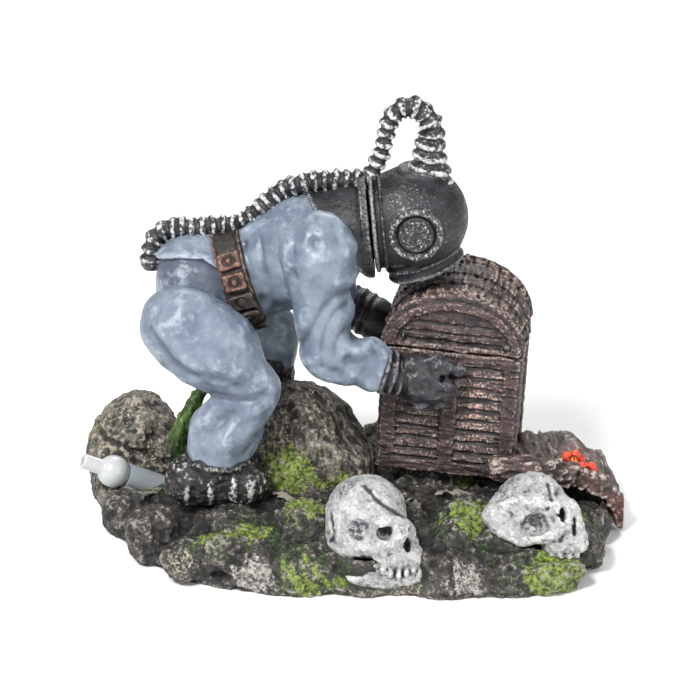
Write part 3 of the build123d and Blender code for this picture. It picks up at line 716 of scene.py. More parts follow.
def build_suit():
    """Torso, legs and arms of the diving suit, with soft folds."""
    c = Clay((-53, -14, 50), (8, 24, 92), 0.42)
    c.d = c.chain([(-37.5, FIGURE_Y, 65.3, 11), (*WAIST, 10.9), (*CHEST, 15)], 3)
    c.add(c.limb((-40.6, 0.5, 66), (-40.6, 9.5, 66), 8), 6)
    c.d += 0.7 * c.noise(9, 51, 2)
    for fold in (
        (1.2, (-25.5, 78.2), (-24, 70.9), (-21.5, 63)),
        (1.2, (-21.5, 80), (-20.5, 72), (-18, 62)),
        (1.2, (-33, 60), (-29, 57.5), (-23, 57)),
    ):
        c.folds(-8, fold)
        c.folds(18, fold, toward=FAR_SIDE)
    c.d += 1.5 * smooth_step(np.interp(c.x, *HEM) - c.z, -0.3, 0.9) * smooth_step(-c.x, 27, 29)

    def shadow(local, world, tint):
        depth = np.interp(world[:, 0], *HEM) - world[:, 2]
        dark = smooth_step(depth, -0.2, 0.8) * (1 - smooth_step(depth, 3, 12))
        tint[:, :3] = rgb(62, 64, 78)[:3]
        tint[:, 3] = 0.62 * dark * smooth_step(-world[:, 0], 26, 29)

    suit_piece(c, "torso", 50, shadow)

    c = Clay((-53, -25, 20), (-15, 6, 72), 0.4)
    hip, thigh, knee = (-42.1, -10, 58.2, 8.9), (-33, -11, 51.6, 9.7), (-24.3, -12.5, 41.8, 7)
    calf, foot = (-31, -13, 30.3, 8.3), (-33, -13.4, 25, 7.4)
    c.d = c.chain([hip, thigh, knee, calf, foot], 4, 2.2, 3)
    c.add(c.egg((-38.5, -10.5, 56), (10, 9.4, 9.4)), 5)
    c.d += 0.9 * c.noise(8, 61, 2)
    c.folds(
        -18,
        (0.96, (-47.9, 60.1), (-44.9, 55.1), (-41.3, 49.7), (-37.2, 47.4)),
        (1.2, (-33.6, 42.8), (-29.9, 41.6), (-24.1, 41.4), (-20.9, 42.8)),
        (0.76, (-35, 45.2), (-30.5, 44.2), (-25.5, 44.6)),
    )
    c.folds(-20, (0.83, (-32.6, 47.4), (-27.8, 46.3)))
    c.folds(
        -21,
        (0.83, (-32.2, 37.8), (-30.3, 38.9), (-28.7, 39.5)),
        (0.83, (-34.5, 34), (-31.4, 36.2), (-30.4, 37.2)),
    )
    c.folds(-20, (1.1, (-22.5, 32.4), (-26.3, 27.7)), (0.96, (-37, 32.4), (-36.3, 27.7)))
    inner = np.array((0, 1, 0))
    c.folds(0, (1.2, (-33.6, 42.8), (-29.9, 41.6), (-24.1, 41.4)), toward=inner)
    suit_piece(c, "left_leg", 60)

    c = Clay((-52, 5, 26), (-11, 32, 70), 0.42)
    c.d = c.chain([(-41, 20, 58.2, 8.9), (-19.8, 21, 43.5, 6.3), (-20.6, 20, 34, 5.7)], 2)
    c.d += 0.8 * c.noise(8, 71, 2)
    c.folds(
        28,
        (1.2, (-30, 46), (-25, 43), (-20, 42)),
        (1.1, (-46, 60), (-40, 53), (-34, 49)),
        toward=FAR_SIDE,
    )
    c.folds(12, (1.1, (-24, 41), (-18, 39)))
    suit_piece(c, "right_leg", 70)

    c = Clay((-19, -23, 40), (15, 1, 89), 0.38)
    c.d = c.chain([(-7.8, -11, 77.1, 9.6), (-6, -12.4, 61, 7), (-5, -14, 52.4, 6.8)], 3)
    c.add(c.limb((-5, -14, 52.4), (4.6, -13.2, 48.3), 6.9, 6.5), 2)
    c.d += 0.7 * c.noise(7, 81, 2)
    for depth, *line in (
        (1.3, (2.2, -19, 71.6), (-2.2, -20.5, 70), (-6.5, -20.5, 66.4), (-9.6, -20.5, 61),
            (-11.6, -19, 56)),
        (1.1, (-0.7, -20, 67.6), (-3.9, -20, 64.8), (-6, -20, 60.9), (-6.9, -20, 56.4),
            (-6.8, -20, 50.8)),
        (1.3, (3, -18, 61.8), (0.4, -20, 57.4), (-0.8, -20, 51.6), (-2.4, -19, 47.8)),
        (1.2, (-0.8, -20, 52.6), (2.4, -20, 52.5), (6, -20, 54.7)),
        (0.96, (1, -20, 64), (-1.6, -20, 60.6), (-3.4, -20, 56.8), (-3.4, -20, 50)),
        (0.7, (3.4, -20, 50), (1.4, -20, 46.6), (1, -20, 43)),
        (1, (-8.2, -17, 87.6), (-8.5, -17, 81)),
        (1, (-13.4, -15, 86.5), (-13.2, -15, 80.7), (-13, -17, 73)),
        (0.8, (-4, -17, 86), (-3, -18, 82)),
    ):
        c.fold(line, depth)
    suit_piece(c, "left_arm", 80, broad=2.4)

    c = Clay((-19, 9, 42), (9, 33, 89), 0.42)
    elbow, wrist = (-5.2, 24.6, 53.4, 6.8), (1.9, 24, 49.5, 5.6)
    c.d = c.chain([(-7.8, 21, 77.1, 9.6), (-6, 23, 59, 7), elbow, wrist], 3, 2)
    c.d += 0.7 * c.noise(7, 91, 2)
    c.folds(
        30,
        (1.2, (-0.2, 71.7), (-4.4, 70.6), (-7.5, 68.4), (-10.4, 65.3)),
        (1.2, (-0.7, 67.6), (-3.9, 64.8), (-6, 60.9), (-6.9, 56.4)),
        (1.2, (2.4, 57.8), (-0.2, 54.4), (-2.8, 49.6)),
        toward=FAR_SIDE,
    )
    c.folds(14, (1.1, (2, 60), (-2, 57), (-5, 52)))
    suit_piece(c, "right_arm", 90, broad=2.4)


SOLE = 11.7


def boot(low, high, step, toe, ankle, seed, cuff=None):
    """The body of a boot, with its cuff and wear."""
    c = Clay(low, high, step)
    c.d = c.limb(*toe, 6.3, 5.6)
    c.add(c.limb(*ankle), 2.4)
    c.within(SOLE - c.z)
    if cuff is not None:
        c.add(c.ring(cuff, (0.05, 0, 1), 7.2, 0.9), 0.8)
    c.d += 0.8 * np.abs(c.noise(3.4, seed, 3)) + 0.55 * c.noise(1.3, seed + 1, 3, gain=0.7) - 0.3
    return c


def build_boots():
    """Weighted boots, the near one with its straps."""
    c = boot(
        (-49, -23, 10.8), (-16, -5, 31), 0.33, ((-39.6, -14.6, 18), (-26.4, -14.6, 17.4)),
        ((-32, -13.8, 24.4), (-34.6, -14.6, 21), 6.8, 6.4), 101, (-32.6, -14, 23.2),
    )
    for *line, width, depth in (
        ((-33.7, -20.5, 20.8), (-34.6, -20.5, 15.6), (-35, -20.5, 13), 0.75, -0.9),
        ((-29, -20.5, 20.8), (-28.7, -20.5, 15.2), (-28.6, -20.5, 13), 0.75, -0.9),
        ((-24.1, -20.5, 19.8), (-24.8, -20.5, 16.6), (-24.6, -20.5, 14), 0.75, -0.9),
        ((-39.5, -20.5, 20.8), (-40.4, -20.5, 15.6), (-40.4, -20.5, 13), 0.75, -0.9),
        ((-44.5, -20, 14.2), (-36, -20, 14.2), (-28, -20, 13.8), (-21.5, -20, 14), 0.7, 0.8),
        ((-39, -20, 23.5), (-34, -21, 22.6), (-28, -20.5, 22.6), (-25.5, -20, 23.6), 0.8, 0.7),
    ):
        c.press(line, width, depth)
    c.pits(1.1, 103, 0.12, 0.6)
    tall = (3.6, 1, 1)
    straps = spots(*(
        ((x, -20.4, z), 3.6, (176, 174, 170), 0.35, 0.56, tall)
        for x, z in ((-34.4, 17.4), (-28.8, 17.6), (-24.6, 17.2))
    ))
    c.piece("left_boot", BOOT, straps, 0.5, 1.5)

    c = boot(
        (-35, 12, 10.8), (-9, 28, 38.6), 0.36, ((-27, 20.4, 17), (-16, 20.4, 16.6)),
        ((-20.8, 20.2, 33.6), (-22, 20.4, 20), 6.3, 6.4), 105,
    )
    c.pits(1.1, 107, 0.12, 0.6)
    c.piece("right_boot", BOOT, None, 0.5, 1.5)


def build_gloves():
    """Gloves with ribbed cuffs, the near one with fingers that grip the chest."""
    c = Clay((2.6, -20, 34.5), (29.5, -4.5, 54), 0.3)
    c.d = c.limb((8.2, -13, 46.9), (12, -12.4, 45.4), 5.4, 5.3)
    along, _ = c.about((8, -13, 46.9), (0.96, 0.1, -0.26))
    ribs = 0.4 * np.cos(along * 2 * PI / 2.2 + 1.5 * c.noise(5, 113, 1))
    c.d -= ribs * smooth_step(6.0 - along, 0, 2)
    c.add(c.egg((17, -12, 44.2), (6.3, 5.6, 6.6)), 1.4)
    knuckle = [(15.6, -14.2, 48.6), (16.4, -15.2, 45.4), (17, -15.2, 42), (17.6, -14.4, 38.8)]
    tips = [(22.6, -13.6, 47), (23.6, -14, 43.4), (23.4, -13.8, 41), (22, -13.4, 38.8)]
    for a, b, r in zip(knuckle, tips, (2.1, 2.2, 2.1, 1.9)):
        c.add(c.limb(a, b, r + 0.2, r - 0.2), 0.7)
    for finger in (
        ((15, -13, 48.4), (20.6, -13.6, 49.4), 2.3, 2.1),
        ((20.6, -13.6, 49.2), (26.6, -12.4, 46.8), 2.1, 1.7),
        ((22.4, -13.4, 41.6), (26, -12, 43.2), 2, 1.6),
    ):
        c.add(c.limb(*finger), 0.8)
    c.carve(c.limb((22.6, -18, 45.8), (22.4, -14.2, 45.2), 0.7), 0.9)
    c.d += 0.55 * c.noise(2.4, 111, 3) + 0.2 * c.noise(1, 112, 2)
    c.press([(12.6, -17, 49.6), (13.4, -18, 45.4), (13.2, -17.6, 41.6)], 0.7, 0.8)
    c.within(c.y + 5.2)
    c.piece("left_glove", GLOVE, None, 0.5, 1.5)

    c = Clay((-4.6, 14, 38), (18.5, 30, 56), 0.36)
    c.d = c.limb((1.4, 23.2, 49.3), (5.6, 21.6, 47.6), 5.8, 5.4)
    along, _ = c.about((2, 23, 49), (0.93, -0.36, -0.36))
    c.d -= 0.35 * np.cos(along * 2 * PI / 2.5) * smooth_step(5 - along, 0, 1)
    c.add(c.limb((6.6, 21.4, 47), (11.6, 20.6, 44.9), 5.2, 4.6), 1.4)
    for dz in (-3.2, 0, 3.2):
        c.add(c.limb((8.4, 24.2, 46.4 + dz), (12.8, 22, 44.8 + dz * 0.8), 1.9, 1.7), 0.7)
    c.d += 0.25 * c.noise(2.4, 115, 2)
    c.piece("right_glove", GLOVE, None, 0.5, 1.5)


BELT_MIDDLE = np.array((-27.2, FIGURE_Y, 65))
BELT_AXIS = unit((0.955, 0, 0.297))


def on_belt(c, angle, half, rounding, face, ring):
    """A block on the belt at an angle up from the viewer's side, with a ring pressed into it."""
    angle = math.radians(angle)
    spoke = np.array((0, -math.cos(angle), 0)) + np.cross(BELT_AXIS, (0, 1, 0)) * math.sin(angle)
    axes = (BELT_AXIS, np.cross(spoke, BELT_AXIS), spoke)
    face = BELT_MIDDLE + spoke * face
    shape = c.block(BELT_MIDDLE + spoke * 12.9, half, rounding, axes)
    return cut(shape, c.ring(face, spoke, *ring), 0.25), face, axes


def build_belt():
    """The belt with its copper weights above and dark pouches below."""
    c = Clay((-37, -9.5, 50), (-17, 19.5, 80.5), 0.36)
    body = c.chain([(-37.5, FIGURE_Y, 65.3, 12.1), (*WAIST, 12.1), (*CHEST, 15.9)], 2)
    along, _ = c.about(BELT_MIDDLE, BELT_AXIS)
    c.d = np.maximum(body, np.abs(along) - 3.2)
    c.carve(body + 3, 0.2)
    c.d += 0.3 * c.noise(1.6, 121, 3)
    c.d -= 0.35 * smooth_step(np.abs(along), 2.2, 2.8)
    c.piece("belt", POUCH, None, 0.5, 1.4)

    c = Clay((-37, -11, 60), (-20, 21, 79.5), 0.26)
    for angle in (37, 14, 143, 166):
        weight, face, axes = on_belt(c, angle, (2.75, 2.15, 1.2), 0.6, 14.1, (1.25, 0.38))
        c.merge(join(weight, c.egg(face, (0.75, 0.75, 0.45), axes), 0.3))
    c.d += 0.12 * c.noise(1, 125, 2)
    c.piece("belt_weights", BRONZE, None, 0.4, 1, small=120)

    c = Clay((-32, -11, 49), (-14, 21, 67), 0.3)
    for angle in (-9, -32, -55, -125, -148, -171):
        c.merge(on_belt(c, angle, (3.5, 2.15, 1.35), 0.7, 14.2, (1.3, 0.32))[0])
    c.d += 0.35 * c.noise(1.4, 127, 3)
    c.pits(0.9, 128, 0.1, 0.5)
    c.piece("belt_pouches", POUCH, None, 0.4, 1.2, small=120)


HELMET_CENTRE = np.array((16, FIGURE_Y, 80.4))
NECK_AXIS = unit((0.995, 0, 0.098))
NECK_RING = np.array((5.2, FIGURE_Y, 79.2))
VISOR_AXIS = unit((0.34, 0, -0.94))
VISOR_ROOT = np.array((17.3, FIGURE_Y, 72.6))


def build_helmet():
    """The corselet, the hollow globe, and the front and side windows."""
    c = Clay((-17, -11.5, 59), (6.6, 21.5, 93.5), 0.36)
    c.d = c.limb(CHEST, (1, FIGURE_Y, 77.2), 15.9, 12.5)
    cutter, _ = c.about((-2.2, FIGURE_Y, 75.5), (0.8, 0, 0.6))
    c.carve(cutter, 1.2)
    c.d -= 0.45 * np.exp(-(((cutter - 0.8) / 0.7) ** 2))
    c.merge(c.rod(NECK_RING - NECK_AXIS * 2.4, NECK_AXIS, 2.2, 12.7, 0.5))
    neck, _ = c.about(NECK_RING, NECK_AXIS)
    c.within(neck + 0.1)
    c.d += 0.22 * c.noise(2, 131, 3) + 0.1
    c.pits(1, 132, 0.12, 0.45)
    c.piece("corselet", GUNMETAL, None, 0.5, 1.4)

    c = Clay((3.5, -9.5, 64), (30.5, 19.5, 95), 0.34)
    c.d = c.ball(HELMET_CENTRE, 13.3)
    c.add(c.rod(NECK_RING + NECK_AXIS * 0.1, NECK_AXIS, 7, 11.7, 0.3), 1.2)
    for distance, radius, thick in ((0.9, 12.2, 0.6), (3, 12, 0.3)):
        c.add(c.ring(NECK_RING + NECK_AXIS * distance, NECK_AXIS, radius, thick), 0.5)
    back, _ = c.about(NECK_RING, NECK_AXIS)
    c.within(0.1 - back)
    c.add(c.ring(HELMET_CENTRE + (1.6, 0, 12.3), (0.04, 0, 1), 5.2, 0.8), 1)
    c.carve(c.ball(HELMET_CENTRE, 11.2), 0.2)
    c.carve(c.rod(NECK_RING - NECK_AXIS, NECK_AXIS, 9, 8.4), 0.3)
    c.carve(c.rod(VISOR_ROOT, VISOR_AXIS, 12, 7.6), 0.3)
    c.d += 0.16 * c.noise(2.4, 135, 3) + 0.05
    c.pits(1.1, 136, 0.10, 0.3)
    # Lighter silver patches: a painted highlight on the upper near side of the globe, and dry-brushed
    # silver on the near side above the front window.
    silver = spots(
        ((14, -7, 86.5), 7, (128, 130, 132), 0.9, 0.34),
        ((23.5, -7, 80), 5, (116, 118, 120), 0.9, 0.26),
    )
    c.piece("helmet", GUNMETAL, silver, 0.5, 1.4)

    c = Clay((5.6, -6.6, 63.4), (31, 16.6, 77.5), 0.3)
    c.d = c.rod(VISOR_ROOT - VISOR_AXIS * 1.5, VISOR_AXIS, 7.1, 9.4, 0.4)
    for distance, radius, thick in ((4.9, 9.3, 0.62), (2.4, 9.3, 0.62), (0, 9.4, 0.7)):
        c.add(c.ring(VISOR_ROOT + VISOR_AXIS * distance, VISOR_AXIS, radius, thick), 0.3)
    c.carve(c.rod(VISOR_ROOT - VISOR_AXIS * 3, VISOR_AXIS, 14, 7.6, 0.3), 0.3)
    c.merge(c.rod(VISOR_ROOT + VISOR_AXIS * 2.6, VISOR_AXIS, 1.4, 7.9, 0.3))
    middle = VISOR_ROOT + VISOR_AXIS * 4.4
    for side in (np.cross((0, 1, 0), VISOR_AXIS), np.array((0, 1, 0))):
        c.merge(c.limb(middle - side * 7.8, middle + side * 7.8, 0.7))
    c.d += 0.18 * c.noise(2, 138, 3) + 0.05
    c.piece("front_window", GUNMETAL, None, 0.45, 1.2)

    for side, node, seed in ((-1, "left_window", 141), (1, "right_window", 145)):
        out = np.array((0, side, 0))
        root = HELMET_CENTRE + out * 11.4
        y = sorted((root[1] - 0.5 * side, root[1] + 4.0 * side))
        c = Clay((8.5, y[0], 72.8), (23.5, y[1], 88), 0.24)
        c.d = c.rod(root, out, 2.5, 6.5, 0.4)
        c.carve(c.rod(root + out * 1.7, out, 3, 5.1, 0.3), 0.2)
        c.add(c.ring(root + out * 2.45, out, 5.75, 0.55), 0.3)
        c.add(c.ring(root + out * 1.9, out, 3.9, 0.62), 0.3)
        along, across = c.about(root, out)
        c.merge(np.maximum(c.ball(root - out * 4.85, 7.95), across - 4.4))
        c.within(-along)
        for i in range(10):
            a = 2 * PI * (i + 0.5) / 10
            spot = root + out * 2.5 + np.array((math.cos(a), 0, math.sin(a))) * 5.9
            c.add(c.egg(spot, (0.75, 0.6, 0.75)), 0.15)
        c.d += 0.16 * c.noise(1.2, seed, 3)

        def silver(local, world, tint):
            ring = np.hypot(world[:, 0] - root[0], world[:, 2] - root[2])
            tint[:, :3] = rgb(158, 160, 160)[:3]
            tint[:, 3] = np.where(ring < 3.7, 0.36, np.where(ring > 5, 0.42, 0))

        c.piece(node, GUNMETAL, silver, 0.4, 1)


def build_hoses():
    """The thick hose that loops out of the crown, and the one down the back."""
    c = Clay((-1, -3.5, 86), (28.5, 13.5, 111.55), 0.25)
    crown = np.array((19.6, FIGURE_Y, 89))
    along, across = c.about(crown, (-0.03, 0, 1))
    radius = np.interp(along, (-1, 0, 4, 8, 12.6, 15), (5.9, 5.9, 5.1, 4.2, 3.1, 2.8))
    leaning = along - 1.2 + 0.16 * (c.x - crown[0])
    cone = across - radius + 0.15 - c.ribs(leaning, 3, 0.9, 153, 6, 0.5)
    c.d = np.maximum(cone, np.abs(along - 6.6) - 6.6)
    stops = [
        (20.2, 99.6), (20, 103.4), (17.8, 107.2), (13.8, 108.6), (10.4, 106.6), (9.2, 102.6),
        (8, 97.6), (5.4, 92.2),
    ]
    away, run = c.route(smooth_route([(x, FIGURE_Y, z) for x, z in stops]))
    thick = np.interp(run, (0, 6, 12, 18, 24, 34), (2.9, 2.7, 2.5, 2.25, 2, 2.1))
    c.add(away - thick - 0.1 - c.ribs(run, 2.7, 1.4, 154), 0.3)
    c.d += 0.6 * c.noise(2.2, 151, 3) + 0.1
    c.within(-c.ball(HELMET_CENTRE, 12.6))

    def silver(local, world, tint):
        tint[:, :3] = rgb(176, 177, 178)[:3]
        on_cone = smooth_step(world[:, 0], 13.5, 15.5) * smooth_step(104 - world[:, 2], 0, 3)
        tint[:, 3] = on_cone * 0.3

    c.piece("hose_loop", RUBBER, silver, 0.4, 1.1)

    c = Clay((-53, 1.4, 65.5), (6.5, 8.6, 93.5), 0.28)
    stops = [
        (4.4, 90.2), (-3, 90), (-10, 89.4), (-16.6, 87.2), (-22, 82.4), (-27.6, 78.6), (-36, 77.8),
        (-44.4, 77.4), (-48.2, 74.4), (-49.4, 69),
    ]
    away, run = c.route(smooth_route([(x, FIGURE_Y, z) for x, z in stops]))
    c.d = away - 2.55 - c.ribs(run, 2.6, 1.3, 155)
    c.d += 0.7 * c.noise(2.2, 156, 3)
    c.piece("hose_back", RUBBER, None, 0.4, 1.1)


def chest_matrix():
    """The chest's own frame: it leans and is turned a little."""
    yaw, roll = math.radians(8), math.radians(3)
    x = np.array((math.cos(yaw) * math.cos(roll), -math.sin(yaw) * math.cos(roll), -math.sin(roll)))
    z = unit(np.cross(x, (math.sin(yaw), math.cos(yaw), 0)))
    m = np.identity(4)
    m[:3, 0], m[:3, 1], m[:3, 2], m[:3, 3] = x, np.cross(z, x), z, (25.5, FIGURE_Y + 1, 17)
    return m


WIDTH, DEPTH, TALL = 34.0, 28.0, 33.0
HINGE_X, HINGE_Z = 13.2, TALL + 2.2
LID_FOOT, LID_SPAN, LID_RISE = TALL + 0.35, WIDTH / 2 + 0.6, 14.3


def build_chest():
    """The hollow chest with louvred doors, and its barrel-top lid."""
    place = chest_matrix()
    c = Clay((-18.2, -15.6, -0.4), (18.2, 15.6, 37.4), 0.34, place)
    c.d = c.block((0, 0, TALL / 2), (WIDTH / 2, DEPTH / 2, TALL / 2), 0.5)
    for side in (-1, 1):
        y = side * (DEPTH / 2 + 0.1)
        for x in (-WIDTH / 2 + 2.1, 0, WIDTH / 2 - 2.1):
            c.add(c.block((x, y, TALL / 2), (2, 0.75, TALL / 2), 0.45), 0.25)
        for z, h in ((1.7, 1.7), (TALL - 1.7, 1.7)):
            c.add(c.block((0, y, z), (WIDTH / 2, 0.8, h), 0.45), 0.25)
        bay, pitch = (WIDTH - 12.6) / 2, (TALL - 6.8) / 9
        for row in range(9):
            for x in (-(4.2 + bay) / 2, (4.2 + bay) / 2):
                at = (x, side * (DEPTH / 2 - 0.1), 3.4 + (row + 0.5) * pitch)
                up, out = math.cos(0.3), math.sin(0.3 * side)
                axes = ((1, 0, 0), (0, up, out), (0, -out, up))
                c.add(c.block(at, (bay / 2 + 0.2, 0.55, 0.42 * pitch), 0.3, axes), 0.15)
    for x in (0.1 - WIDTH / 2, WIDTH / 2 - 0.1):
        for z in 3.4 + 6.6 * np.arange(5):
            c.carve(c.block((x, 0, z), (0.9, DEPTH / 2 - 3, 0.3), 0.25), 0.4)
        for y in (-DEPTH / 2 + 1.8, DEPTH / 2 - 1.8):
            c.add(c.block((x, y, TALL / 2), (0.65, 1.8, TALL / 2), 0.4), 0.25)
    c.within(c.z - (TALL - 0.03))
    wedge = c.z - TALL + (c.x - 12.6) * 0.11
    c.d = np.where((c.x > 12.6) & (c.z > TALL - 1.5), np.maximum(c.d, wedge), c.d)
    c.carve(c.block((0, 0, 2.6 + TALL / 2), (WIDTH / 2 - 2.4, DEPTH / 2 - 2.4, TALL / 2), 0.3), 0.2)
    c.d += 0.5 * c.noise(0.8, 161, 3, (5, 0.6, 0.5)) + 0.16 * c.noise(1.1, 162, 2) + 0.1
    c.pits(0.9, 163, 0.07, 0.4)
    c.within(c.z - TALL)
    ear_face = DEPTH / 2 - 1.8 - 0.4
    for y in (ear_face - 0.8, -ear_face + 0.8):
        c.merge(c.rod((HINGE_X, y - 0.8, HINGE_Z), (0, 1, 0), 1.6, 1.6, 0.1))
        c.merge(c.block((HINGE_X, y, TALL - 0.8), (1.6, 0.8, 3), 0.1))
    c.carve(c.rod((-2.9, -1.6, -2), (0, 0, 1), 8, 2), 0.1)

    def colours(local, world, tint):
        x, y, z = local.T
        bay = (np.abs(x) > 2.2) & (np.abs(x) < WIDTH / 2 - 4) & (z > 4) & (z < TALL - 4)
        # A painted pool of light: the peach on the slats is brighter about the middle of the right-hand
        # bays.
        light_pool = np.exp(-(((x - 7.6) / 4.6) ** 2) - (((z - 17) / 8.5) ** 2))
        slats = bay & (np.abs(y) > DEPTH / 2 + 0.18)
        tint[:, :3] = rgb(172, 142, 128)[:3]
        tint[:, 3] = np.where(slats, 0.34 + 0.18 * light_pool, 0)
        tint[(np.abs(y) > DEPTH / 2 - 0.6) & (z > TALL - 3)] = (*rgb(96, 76, 72)[:3], 0.36)

    c.piece("chest_body", WOOD, colours, 0.45, 1.2)

    c = Clay((-19.2, -17.6, TALL - 0.2), (19.2, 17.6, TALL + 16.4), 0.32, place)

    def vault(span, rise, foot=LID_FOOT):
        return rounded((c.x, np.maximum(c.z - foot, 0)), (span, rise))

    half = DEPTH / 2 + 0.6
    shell = vault(LID_SPAN - 0.1, LID_RISE - 0.1)
    c.d = np.maximum(shell, np.abs(c.y) - half)
    for y in (-13, -3.6, 3.6, 13):
        c.add(np.maximum(vault(LID_SPAN + 0.25, LID_RISE + 0.55), np.abs(c.y - y) - 1.6), 0.25)
    along = np.arctan2(np.maximum(c.z - LID_FOOT, 0) * (LID_SPAN / LID_RISE), c.x)
    lines = smooth_step(np.abs(np.sin(along * 15)), 0, 0.3)
    row = smooth_step(np.abs(c.y), half - 5.2, half - 4.6)
    row = row * smooth_step(half - 1.0 - np.abs(c.y), 0, 0.5)
    c.d += 0.8 * row * (1 - lines) + 0.3 * row - 0.15
    for side in (-1, 1):
        face = np.abs(c.y - side * half) - 0.95
        outer, inner = vault(LID_SPAN - 0.6, LID_RISE - 1.4), vault(LID_SPAN - 3, LID_RISE - 3.6)
        c.add(np.maximum(np.maximum(outer, -inner), face), 0.3)
        outer = vault(LID_SPAN - 4.2, LID_RISE - 4.8)
        inner = vault(LID_SPAN - 5.4, LID_RISE - 6, LID_FOOT + 1.6)
        c.add(np.maximum(np.maximum(outer, -inner), face + 0.25), 0.15)
        for z in (2.2, 4.5, 6.8):
            c.carve(c.block((0, side * half, LID_FOOT + z), (12, 0.35, 0.22), 0.15), 0.25)
        foot = (0, side * (half + 0.1), LID_FOOT + 0.8)
        c.add(c.block(foot, (LID_SPAN - 1.2, 0.7, 0.75), 0.3), 0.2)
    c.within(LID_FOOT + 0.02 - c.z)
    hollow = np.maximum(vault(LID_SPAN - 1.8, LID_RISE - 1.8), np.abs(c.y) - (DEPTH / 2 - 1.8))
    ends = np.abs(c.y) > half - 0.6
    along_x, along_y = c.noise(0.8, 171, 3, (5, 0.6, 0.5)), c.noise(1.3, 174, 3, (0.6, 5, 0.5))
    c.d += np.where(ends, 0.3 * along_x, 0.8 * along_y) + 0.3 * c.noise(1.2, 172, 3) + 0.1
    c.pits(0.9, 173, 0.07, 0.4)
    c.within(LID_FOOT + 0.02 - c.z)
    c.carve(hollow, 0.2)
    c.carve(c.rod((HINGE_X, -20, HINGE_Z), (0, 1, 0), 34.05, 0.82, 0.1), 0.05)

    def colours(local, world, tint):
        x, y, up = np.abs(local[:, 0]), np.abs(local[:, 1]), local[:, 2] - LID_FOOT
        shape = np.hypot(x / (LID_SPAN - 1.8), np.maximum(up, 0) / (LID_RISE - 2.5))
        mould = (y > half - 0.2) & (np.abs(shape - 1) < 0.10)
        tint[mould] = (*rgb(96, 72, 72)[:3], 0.4)
        ribs = (y > half - 4.8) & (y < half - 1.2) & (up > 5)
        grain = np.abs(np.sin(np.arctan2(up * (LID_SPAN / LID_RISE), local[:, 0]) * 15)) > 0.6
        tint[ribs & grain] = (*rgb(176, 144, 128)[:3], 0.5)

    c.piece("chest_lid", WOOD, colours, 0.45, 1.2, body="lid")


def skull(c, bars, sockets, teeth, seed):
    """Brow, cheek and jaw bars, then the hollows, the teeth and the wear of a skull."""
    for *points, radius in bars:
        away, _ = c.route(smooth_route(points, 4))
        c.add(away - radius, 2.6)
    for point, radii, sink in sockets:
        c.carve(c.egg(c.land([point])[0] - TO_VIEWER * sink, radii), 0.5)
    for x, y, z, tall in teeth:
        c.add(c.egg((x, y, z), (0.85, 0.95, tall)), 0.35)
    c.d += 0.5 * c.noise(4, seed, 3, gain=0.6) + 0.34 * c.noise(1, seed + 1, 3, gain=0.7)
    c.pits(1, seed + 3, 0.08, 0.5)
    c.pits(0.8, seed + 4, 0.07, 0.5)
    c.within(0.9 - c.z)


